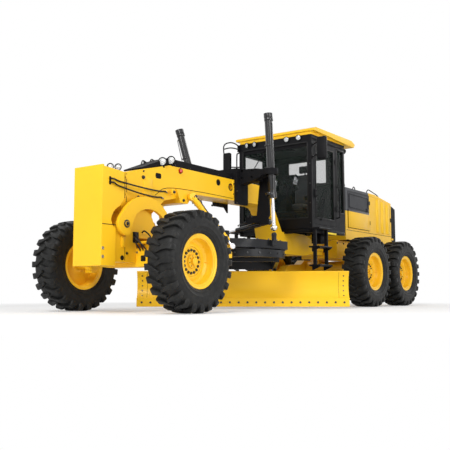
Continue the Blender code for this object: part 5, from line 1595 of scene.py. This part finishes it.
    def right_mirror(self) -> None:
        """Shape the right mirror's housing, its looped carrier and the grab rail behind it."""
        lines = (
            (
                (-0.1, -0.78, 3.1), (-0.05, -0.83, 3.15), (-0.03, -0.92, 3.18), (-0.03, -1.03, 3.175),
                (-0.03, -1.085, 3.13), (-0.035, -1.094, 3.05), (-0.035, -1.085, 2.96),
            ),
            ((-0.1, -0.78, 3.035), (-0.045, -0.84, 3.06), (-0.03, -0.95, 3.078), (-0.03, -1.09, 3.07)),
            ((-0.17, -0.79, 2.7), (-0.12, -0.86, 2.7), (-0.05, -0.93, 2.7), (-0.04, -0.96, 2.7)),
        )
        shapes = [
            slab(rounded((-1.09, 2.59), (-0.925, 2.985), 0.03), -0.075, -0.002, Plane.YZ, 0.018),
            *(tube(smooth_line(line, 3), self.tube * 0.85, 12) for line in lines),
            block((-0.16, -0.812, 2.99), (-0.098, -0.795, 3.13)),
        ]
        fit("mirror_right_head", shapes, Finish.CAB, stands_for=["mirror_right"])

    def mirror_faces(self) -> None:
        """Set the mirrors' glasses in the backs of their housings."""
        outlines = (
            rounded((1.0, 2.645), (1.153, 3.015), 0.025), rounded((-1.075, 2.61), (-0.94, 2.965), 0.022)
        )
        glasses = [slab(outline, -0.08, -0.07, Plane.YZ, 0) for outline in outlines]
        fit("mirror_faces", glasses, Finish.CHROME)

    def rails(self) -> None:
        """Bend the grab rails beside the doors and the roof's drip rails."""
        foot = self.half - 0.01
        high = ((foot, 2.985), (0.845, 2.975), (0.868, 2.93), (0.868, 2.62), (0.845, 2.565), (foot, 2.555))
        low = ((foot, 2.28), (0.85, 2.27), (0.865, 2.22), (0.865, 1.74), (0.85, 1.69), (foot, 1.68))
        right = tube(smooth_line([(-0.165, -y, z) for y, z in high], 3), 0.0125, 12)
        left = tube(smooth_line([(-1.1, y, z) for y, z in low], 3), 0.0125, 12)
        drip = block((-1.46, self.half - 0.004, 3.06), (-0.15, self.half + 0.012, 3.078), 0.003)
        fit("cab_rails", [right, *both(left, drip)], Finish.CAB)

    def bolts(self) -> None:
        """Set the cab's mounting bolts and the rails' screws."""
        places = [((x, self.half + 0.002, 1.375), LEFT, 0.02) for x in (-0.22, -0.42, -1.38, -1.2)]
        places += [((-1.45, y, 1.62), (-1, 0, 0), 0.022) for y in (0.6, 0.3)]
        places += [((-0.15, 0.765, 1.52 + 0.36 * n), AHEAD, 0.014) for n in range(4)]
        fit("cab_bolts", both(*[bolt(*place) for place in places]), Finish.BOLT, "cab_black")

    def door(self, side: str) -> None:
        """Fit a door's gaskets, handles, hinge cap and wiper.

        Args:
            side: left or right.
        """
        low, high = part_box(f"cab_door_{side}")
        pane_low, pane_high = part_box(f"door_glass_{side}")
        inner, plate, edge = min(abs(low.y), abs(high.y)), self.plate, high.x - 0.05
        gaskets = border(
            (pane_low.x - 0.012, plate - 0.01, pane_low.z - 0.012),
            (pane_high.x + 0.012, plate + 0.004, pane_high.z + 0.012), 0.02, 1,
        )
        gaskets += border(
            (low.x + 0.006, inner - 0.006, low.z + 0.006), (high.x - 0.006, inner + 0.006, high.z - 0.006),
            0.016, 1,
        )
        pull = [(edge, plate, 2.005), (edge, plate + 0.03, 2.015), (edge, plate + 0.034, 2.06)]
        pull += [(edge, plate + 0.03, 2.105), (edge, plate, 2.115)]
        grip = [
            (edge - 0.02, inner - depth, z) for depth, z in ((0, 2.5), (0.04, 2.48), (0.04, 2.0), (0, 1.98))
        ]
        arm = [(edge - 0.2, plate + 0.01, 1.6), (edge - 0.3, plate + 0.012, 1.9)]
        fittings = [
            block((edge - 0.03, plate - 0.006, 1.98), (edge + 0.03, plate + 0.01, 2.14), 0.008),
            tube(pull, 0.008),
            tube(grip, 0.011),
            bar(
                (edge - 0.2, plate - 0.004, 1.6), (edge - 0.2, plate + 0.014, 1.6), 0.016, steps=20,
                ease=0.003,
            ),
            tube([*arm, (edge - 0.32, plate + 0.008, 1.97)], 0.005, 8),
            bar((edge - 0.22, plate + 0.002, 1.75), (edge - 0.42, plate + 0.002, 2.19), 0.005, steps=8),
        ]
        if side == "right":
            gaskets, fittings = [[flipped(shape) for shape in shapes] for shapes in (gaskets, fittings)]
        fit(f"door_gasket_{side}", gaskets, Finish.HOSE, "cab_black", f"cab_door_{side}_body")
        fit(f"door_handle_{side}", fittings, Finish.COVER, "cab_black", f"cab_door_{side}_body")


# ------------------------------------------------------------------ blade gear, housing and axle
def seat_on(node: str, start: Point, run: Point) -> tuple[Vector, Vector] | None:
    """Find where a line first meets a frame node.

    Args:
        node: The node's name.
        start: The line's start.
        run: The line's direction.

    Returns:
        The place and the way the surface faces there, or None.
    """
    mesh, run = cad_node(node).data, Vector(run)
    tree = BVHTree.FromPolygons(
        [vert.co for vert in mesh.vertices], [tuple(face.vertices) for face in mesh.polygons]
    )
    place, facing, _, _ = tree.ray_cast(Vector(start), run)
    if place is None:
        return None
    return place, (facing if facing.dot(run) < 0 else -facing)


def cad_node(name: str) -> bpy.types.Object:
    """The object of a frame node."""
    return next(thing for thing in bpy.data.objects if thing.name == name)


@dataclass
class BladeGear:
    """The blade's bolts, painted shade in its plate joints and its bead, and the bolts and teeth of the
    circle, its frame and its saddle.
    """

    middle: Pair = (0.848, -0.02)
    along: Pair = (-0.59622, 0.80282)
    pivot: Pair = (1.15346, 0.12)
    teeth: int = 64
    bead: float = 0.6

    def build(self) -> None:
        """Add every piece."""
        for add in (
            self.blade_bolts, self.blade_seams, self.circle_fittings, self.draft_bolts, self.saddle_bolts
        ):
            add()

    def spot(self, v: float, z: float, side: int = 1) -> tuple[Vector, Vector] | None:
        """Find the blade's surface.

        Args:
            v: The place along the blade from its middle.
            z: The height.
            side: 1 for the front face and -1 for the back.

        Returns:
            The place and the way the surface faces there, or None.
        """
        out = Vector((self.along[1], -self.along[0], 0)) * side
        start = Vector((self.middle[0] + self.along[0] * v, self.middle[1] + self.along[1] * v, z)) + out
        found = [hit for hit in (seat_on(node, start, -out) for node in ("moldboard", "cutting_edge")) if hit]
        return min(found, key=lambda hit: (hit[0] - start).length) if found else None

    def blade_bolts(self) -> None:
        """Set the cutting edge's and the end bits' bolts."""
        places = [(-1.74 + 0.1513 * n, 0.105, 0.026) for n in range(24)]
        places += [(side * 1.74, 0.22 + 0.085 * n, 0.018) for side in (-1, 1) for n in range(5)]
        hits = [(self.spot(v, z), size) for v, z, size in places]
        shapes = [bolt(hit[0] - hit[1] * 0.001, hit[1], size) for hit, size in hits if hit]
        fit("blade_bolts", shapes, Finish.BOLT, "blade_yellow", "blade_body")

    def blade_seams(self) -> None:
        """Lay thin black lines as painted shade in the joints of the end plates, and weld a stiffening bead
        along the moldboard's back.
        """
        ends = [[self.spot(v, 0.185 + 0.0485 * n) for n in range(10)] for v in (-1.655, 1.655)]
        seam_shade = [tube([hit[0] for hit in line if hit], 0.0026, 6) for line in ends]
        # black lines on the yellow blade: painted shade in the joints of the end plates
        fit("blade_seams", seam_shade, Finish.GRILLE, "blade_yellow", "blade_body")
        back = [hit[0] for hit in (self.spot(-1.74 + 0.29 * n, self.bead, -1) for n in range(13)) if hit]
        fit("blade_back_ribs", [tube(back, 0.012, 8)], Finish.BLADE, body="blade_body")

    def circle_fittings(self) -> None:
        """Cut the ring's teeth, inside and below its web, and set the wear plates' bolts round it."""
        turn = Matrix.Translation((*self.pivot, 0))
        tooth = slab(
            [(0.585, -0.016), (0.612, -0.022), (0.612, 0.022), (0.585, 0.016)], 0.868, 0.912, Plane.XY, 0
        )
        fit("circle_teeth", [carried(spun(tooth, self.teeth), turn)], Finish.GEAR, body="circle_body")
        bolts = spun(bolt((0.77, 0, 0.905), AHEAD, 0.024), 24)
        fit("circle_bolts", [carried(bolts, turn)], Finish.BOLT, "gear_grey", "circle_body")

    def draft_bolts(self) -> None:
        """Set the draft frame's shoe bolts, where its plate has a top."""
        x, y = self.pivot
        angles = [math.radians(18 * number + 6) for number in range(20)]
        starts = [(x + 0.7 * math.cos(angle), y + 0.7 * math.sin(angle), 1.6) for angle in angles]
        hits = [seat_on("draft_frame", start, (0, 0, -1)) for start in starts]
        shapes = [bolt(hit[0], UP, 0.03) for hit in hits if hit and hit[1].z > 0.95]
        fit("draft_frame_bolts", shapes, Finish.BOLT, "gear_grey", "draft_body")

    def saddle_bolts(self) -> None:
        """Set the collars' bolts and the saddle's pin heads."""
        # each of the collars' bolts is laid twice in one place
        places = [(y, z, 0.024) for z in (2.3, 2.18) for y in (0.3, 0.5, 0.7, -0.3, -0.5, -0.7)] * 2
        places += [(y, z, 0.026) for y in (0.26, 0.34, -0.26, -0.34) for z in (1.55, 1.75, 1.95)]
        hits = [(seat_on("lift_saddle", (3.0, y, z), (-1, 0, 0)), size) for y, z, size in places]
        shapes = [bolt(*hit, size) for hit, size in hits if hit and hit[1].x > 0.9]
        fit("saddle_bolts", shapes, Finish.BOLT, "frame_yellow")


@dataclass
class Housing:
    """The engine housing's pleats, the painted shade in its panel joints, rails, latches and caps, and the
    rear end's louvres and lamps.
    """

    side: float = 0.6
    pleats: tuple[float, ...] = (-3.42, -3.68, -3.94)
    foot: float = 1.575
    pivots: Pair = (-2.2, -2.82)

    def build(self) -> None:
        """Add every piece."""
        for add in (
            self.pleat_ribs, self.seam_shade, self.rails, self.caps, self.louvres, self.rear_lamps, self.bumper,
            self.tandems,
        ):
            add()
        for name in ("left", "right"):
            self.engine_door(name)

    def top(self, x: float) -> float:
        """The housing's height at a place along it."""
        hit = seat_on("hood", (x, 0.52, 3.2), (0, 0, -1))
        return hit[0].z if hit else 2.3

    def pleat_ribs(self) -> None:
        """Raise the rounded pleats behind the dark panel."""
        bulge = ((-0.075, -0.006), (0.075, -0.006), (0.05, 0.022), (0, 0.03), (-0.05, 0.022))
        shapes = []
        for x in self.pleats:
            outline = [(x + ahead, self.side + out) for ahead, out in bulge]
            shapes.append(slab(outline, self.foot, self.top(x) - 0.075, Plane.XY, 0.01))
        fit("housing_pleats", both(*shapes), Finish.BLADE, "hood_yellow", "rear_body")

    def seam_shade(self) -> None:
        """Lay black strips as painted shade in the joints between the housing's panels."""
        inner, out = self.side - 0.003, self.side + 0.0012
        shapes = both(
            block((-4.14, inner, 1.528), (-1.9, out, 1.536), 0),
            block((-2.953, inner, 1.536), (-2.947, out, self.top(-2.95) - 0.02), 0),
            block((-4.075, inner, 1.536), (-4.069, out, self.top(-4.07) - 0.05), 0),
        )
        # black strips on the yellow housing: painted shade in its panel joints
        fit("housing_seams", shapes, Finish.GRILLE, "hood_yellow", "rear_body")

    def rails(self) -> None:
        """Bend the handrails on the housing's top."""
        long_rail = (
            (-3.1, 0.0), (-3.16, 0.07), (-3.24, 0.125), (-3.45, 0.12), (-3.7, 0.105), (-3.8, 0.05),
            (-3.84, 0.0),
        )
        short_rail = ((-2.74, 0.0), (-2.76, 0.1), (-2.82, 0.15), (-2.88, 0.1), (-2.9, 0.0))
        shapes = []
        for marks, y in ((long_rail, 0.47), (short_rail, 0.33)):
            line = [(x, y, self.top(x) - 0.012 + rise) for x, rise in marks]
            shapes.append(tube(smooth_line(line, 3), 0.0105, 12))
        fit("housing_rails", both(*shapes), Finish.CAB, "grille_black", "rear_body")

    def caps(self) -> None:
        """Turn the filler caps, the pre-cleaner and the stack's clamp, and hang the door latches."""
        level = self.top(-2.4)
        cleaner = ((0, 220), (50, 215), (75, 180), (85, 120), (85, 80), (45, 60), (45, -10), (0, -10))
        cap = ((0, 35), (32, 33), (38, 26), (38, 12), (48, 10), (52, -4), (0, -4))
        clamp = ((70.5, 30), (84, 30), (84, 0), (70.5, 0))
        foot = ((69, 20), (85, 20), (120, 4), (120, -6), (69, -6))
        latch = block((-4.128, self.side - 0.004, 1.86), (-4.092, self.side + 0.01, 1.95))
        shapes = [
            turned(cleaner, (-2.35, -0.28, level), UP, 40),
            turned(cap, (-2.62, 0.0, level), UP, 32),
            turned(cap, (-3.88, -0.25, self.top(-3.88) + 0.004), (-0.1, 0, 1), 32),
            turned(clamp, (-2.32, 0.28, level + 0.1), UP, 40),
            turned(foot, (-2.32, 0.28, level), UP, 40),
            *both(latch),
        ]
        fit("housing_caps", shapes, Finish.COVER, "grille_black", "rear_body")

    def louvres(self) -> None:
        """Slope the blades of the rear grille inside its border."""
        low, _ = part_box("rear_grille")
        shapes = []
        for number in range(11):
            z = 1.5 + 0.056 * number
            hit = seat_on("rear_grille", (-6, 0.0, z), AHEAD)
            face = max(hit[0].x if hit else low.x, low.x + 0.004)
            blade = [
                (face - 0.002, z), (face + 0.022, z + 0.03), (face + 0.022, z + 0.037),
                (face - 0.002, z + 0.009),
            ]
            shapes.append(slab(blade, -0.47, 0.47, ease=0))
        fit("rear_louvres", shapes, Finish.GRILLE, body="rear_body")

    def rear_lamps(self) -> None:
        """Turn the tail lamps' cups and lenses on the rear frame."""
        cup = ((0, -20), (52, -18), (58, 4), (48, 6), (46, 0), (0, -2))
        lens = ((0, 5), (30, 4), (45, 1), (45, -4), (0, -4))
        for name, profile, finish, slot in (
            ("rear_lamp_cups", cup, Finish.COVER, "grille_black"),
            ("rear_lamp_faces", lens, Finish.MARKER, "lamp_glass"),
        ):
            shapes = both(*[turned(profile, (-4.444, y, 1.24), (-1, 0, 0), 32) for y in (0.5, 0.36)])
            fit(name, shapes, finish, slot, "rear_body")

    def bumper(self) -> None:
        """Set the housing's foot pads and the rear block's marker bars."""
        pad = block((-4.3, 0.568, 1.46), (-4.2, 0.582, 1.5))
        marker = block((-4.446, 0.2, 0.98), (-4.405, 0.26, 1.1), 0.008)
        fit("rear_bumper_fittings", both(pad, marker), Finish.BODY, body="rear_body")

    def tandems(self) -> None:
        """Set the tandem cases' round covers with their bolts, and the frame's bolts over the tandems."""
        cover = ((0, 12), (85, 12), (98, 4), (98, -6), (0, -6))
        hits = [
            hit[0] for hit in (seat_on("tandem_axle", (x, 1.6, 0.72), (0, -1, 0)) for x in self.pivots) if hit
        ]
        covers = [turned(cover, place, LEFT, 36) for place in hits]
        fit("tandem_fittings", both(*covers), Finish.BODY, body="rear_body")
        bolts = []
        for place in hits:
            for angle in (math.radians(45 * number) for number in range(8)):
                ring = Vector((0.078 * math.cos(angle), 0.012, 0.078 * math.sin(angle)))
                bolts.append(bolt(place + ring, LEFT, 0.014))
        frame = [seat_on("rear_frame", (-4.25 + 0.3 * number, 1.6, 1.27), (0, -1, 0)) for number in range(9)]
        bolts += [bolt(hit[0], LEFT, 0.026) for hit in frame if hit and hit[1].y > 0.9]
        fit("tandem_bolts", both(*bolts), Finish.BOLT, "frame_yellow", "rear_body")

    def engine_door(self, side: str) -> None:
        """Press the dark upper field, the latch and the yellow lower field into an engine door.

        Args:
            side: left or right.
        """
        low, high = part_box(f"engine_door_{side}")
        left, right, out = low.x + 0.06, high.x - 0.06, 0.612
        field_shapes = border((left, out - 0.006, 2.0), (right, out + 0.003, high.z - 0.05), 0.01, 1, 0.002)
        field_shapes.append(block((low.x + 0.09, out - 0.004, 1.985), (low.x + 0.15, out + 0.009, 2.045)))
        lower = [
            block((low.x + 0.002, out - 0.006, low.z + 0.002), (high.x - 0.002, out + 0.0035, 1.957), 0.003)
        ]
        lower += border((left, out - 0.002, low.z + 0.05), (right, out + 0.0055, 1.9), 0.01, 1, 0.0018)
        for piece, shapes, finish in (("field", field_shapes, Finish.PANEL), ("lower", lower, Finish.HOOD)):
            shapes = shapes if side == "left" else [flipped(shape) for shape in shapes]
            fit(f"engine_door_{piece}_{side}", shapes, finish, body=f"engine_door_{side}_body")


@dataclass
class FrontAxle:
    """The painted shade of the axle face's recesses and the tie-down holes, the axle's bolts and pipes, and
    the arched arms' pins.
    """

    pipe: float = 0.01

    def build(self) -> None:
        """Add every piece."""
        for add in (self.pocket_shade, self.bolts, self.pipes, self.pins):
            add()

    def pocket_shade(self) -> None:
        """Lay thin black slabs and discs as painted shade in the axle face's recesses and the tie-down holes.
        """
        shapes = [slab(rounded((0.33, 0.695), (0.42, 0.775), 0.014), 3.766, 3.7712, Plane.YZ, 0)]
        hit = seat_on("main_frame", (4.036, 2.0, 0.735), (0, -1, 0))
        if hit:
            shapes.append(turned(((0, 1.2), (34, 1.2), (34, -4), (0, -4)), hit[0], LEFT, 28))
        # black slabs and discs on the yellow frame: painted shade in its recesses and holes
        fit("axle_pockets", both(*shapes), Finish.GRILLE, "frame_yellow")

    def bolts(self) -> None:
        """Set the axle's and the arm's bolts."""
        shapes = [bolt((3.77, y, z), AHEAD, 0.024) for y, z in ((0.5, 0.8), (0.5, 0.7), (0.26, 0.82))]
        fit("axle_bolts", both(*shapes), Finish.STEEL, "frame_yellow")

    def pipes(self) -> None:
        """Run the short pipes over the axle to the lean and steer cylinders."""
        lines = (
            (
                (3.8, 0.245, 1.06), (3.83, 0.28, 1.07), (3.82, 0.31, 1.02), (3.8, 0.35, 0.94),
                (3.778, 0.38, 0.845),
            ),
            (
                (3.8, 0.245, 1.02), (3.85, 0.29, 1.02), (3.84, 0.34, 0.97), (3.81, 0.4, 0.91),
                (3.778, 0.44, 0.845),
            ),
            (
                (3.8, 0.245, 0.98), (3.82, 0.27, 0.96), (3.82, 0.3, 0.92), (3.8, 0.32, 0.88),
                (3.778, 0.33, 0.84),
            ),
            (
                (3.66, 0.245, 1.1), (3.66, 0.29, 1.12), (3.6, 0.33, 1.06), (3.58, 0.38, 0.96),
                (3.6, 0.42, 0.88),
            ),
        )
        shapes = [tube(smooth_line(line, 3), self.pipe) for line in lines]
        shapes.append(block((3.74, 0.235, 0.95), (3.84, 0.262, 1.1), 0.008))
        fit("axle_pipes", both(*shapes), Finish.HOSE, "cover_black")

    def pins(self) -> None:
        """Set the round pin heads of the arched arms."""
        shapes = []
        hit = seat_on("scarifier", (4.04, 2.0, 1.255), (0, -1, 0))
        if hit:
            face = Vector((4.04, hit[0].y, 1.19))
            head = ((0, 16), (30, 15), (36, 8), (36, 3), (56, 2), (56, -4), (0, -4))
            shapes += [turned(head, face, LEFT, 32), bolt(face + Vector((0, 0.014, 0)), LEFT, 0.03)]
        fit("scarifier_pins", both(*shapes), Finish.BOLT, "frame_yellow")


# ------------------------------------------------------------------ cylinders
@dataclass
class Cylinders:
    """The hydraulic barrels' gland nuts, end bands, ports and the pipe that runs along each."""

    radii: dict[str, float] = field(
        default_factory=lambda: {
            "lift_barrel_left": 0.065, "lift_barrel_right": 0.065, "side_shift_barrel": 0.045,
            "scarifier_barrel_left": 0.036, "scarifier_barrel_right": 0.036,
        }
    )

    def build(self) -> None:
        """Dress every barrel."""
        for name, radius in self.radii.items():
            start, end = self.ends(name)
            body = f"{name}_body"
            if name != "side_shift_barrel":  # it passes close beside the lift saddle
                fit(f"{name}_bands", self.bands(start, end, radius), Finish.BARREL, body=body)
            fit(f"{name}_pipe", self.pipe(start, end, radius), Finish.BARREL, body=body)

    @staticmethod
    def ends(name: str) -> tuple[Vector, Vector]:
        """Find the middles of a barrel's two ends along its longest run.

        Args:
            name: The barrel's node.

        Returns:
            The two ends.
        """
        points = [vert.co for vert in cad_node(name).data.vertices]
        low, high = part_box(name)
        axis = max(range(3), key=lambda number: high[number] - low[number])
        order = sorted(points, key=lambda point: point[axis])
        share = max(6, len(order) // 12)
        middle = [sum(group, Vector()) / share for group in (order[:share], order[-share:])]
        return middle[0], middle[1]

    @staticmethod
    def bands(start: Vector, end: Vector, radius: float) -> list[Shape]:
        """Turn the thicker bands at the barrel's ends and two straps between them.

        Args:
            start: One end.
            end: The other end.
            radius: The barrel's radius.

        Returns:
            The shapes.
        """
        run = end - start
        lip = 0.009 if radius > 0.05 else 0.006
        shapes = []
        for share, width in ((0.05, 0.045), (0.35, 0.018), (0.62, 0.018), (0.93, 0.045)):
            half = width / 2
            ring = [
                (radius - 0.004, half), (radius + lip - 0.002, half), (radius + lip, half - 0.004),
                (radius + lip, 0.004 - half),
            ]
            ring += [(radius + lip - 0.002, -half), (radius - 0.004, -half)]
            shapes.append(lathe(ring, start + run * share, run, 40))
        return shapes

    @staticmethod
    def pipe(start: Vector, end: Vector, radius: float) -> list[Shape]:
        """Bend the pipe from port to port and set its unions.

        Args:
            start: One end.
            end: The other end.
            radius: The barrel's radius.

        Returns:
            The shapes.
        """
        run = (end - start).normalized()
        out = run.cross(Vector((0.3, 0.95 if start.y > 0 else -0.95, 0.2))).cross(run).normalized() * -1.0
        out = -out if out.y * (1 if start.y > 0 else -1) < 0 else out
        length = (end - start).length
        marks = []
        for share, lift in (
            (0.1, -0.002), (0.11, 0.014), (0.14, 0.02), (0.5, 0.02), (0.84, 0.02), (0.87, 0.014),
            (0.88, -0.002),
        ):
            marks.append(start + run * (length * share) + out * (radius + lift))
        shapes = [tube(marks, 0.0065, 8)]
        for share in (0.1, 0.88):
            foot = start + run * (length * share) + out * (radius - 0.004)
            shapes.append(bar(foot, foot + out * 0.016, 0.013, steps=6))
        return shapes


ASSEMBLIES = (PushBlock, Beam, CabInside, CabOutside, BladeGear, Housing, FrontAxle, Cylinders)


def main() -> None:
    """Load the frame, set up the studio, dress the frame, and add the wheels and each sub-assembly."""
    logging.basicConfig(level=logging.INFO, format="%(message)s")
    for thing in list(bpy.data.objects):
        bpy.data.objects.remove(thing)
    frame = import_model()
    Studio().build()
    Castings().build(frame)
    for end in (
        "front_left", "front_right", "tandem_front_left", "tandem_front_right", "tandem_rear_left",
        "tandem_rear_right",
    ):
        Wheel(end).build()
    for assembly in ASSEMBLIES:
        assembly().build()


if __name__ == "__main__":
    main()
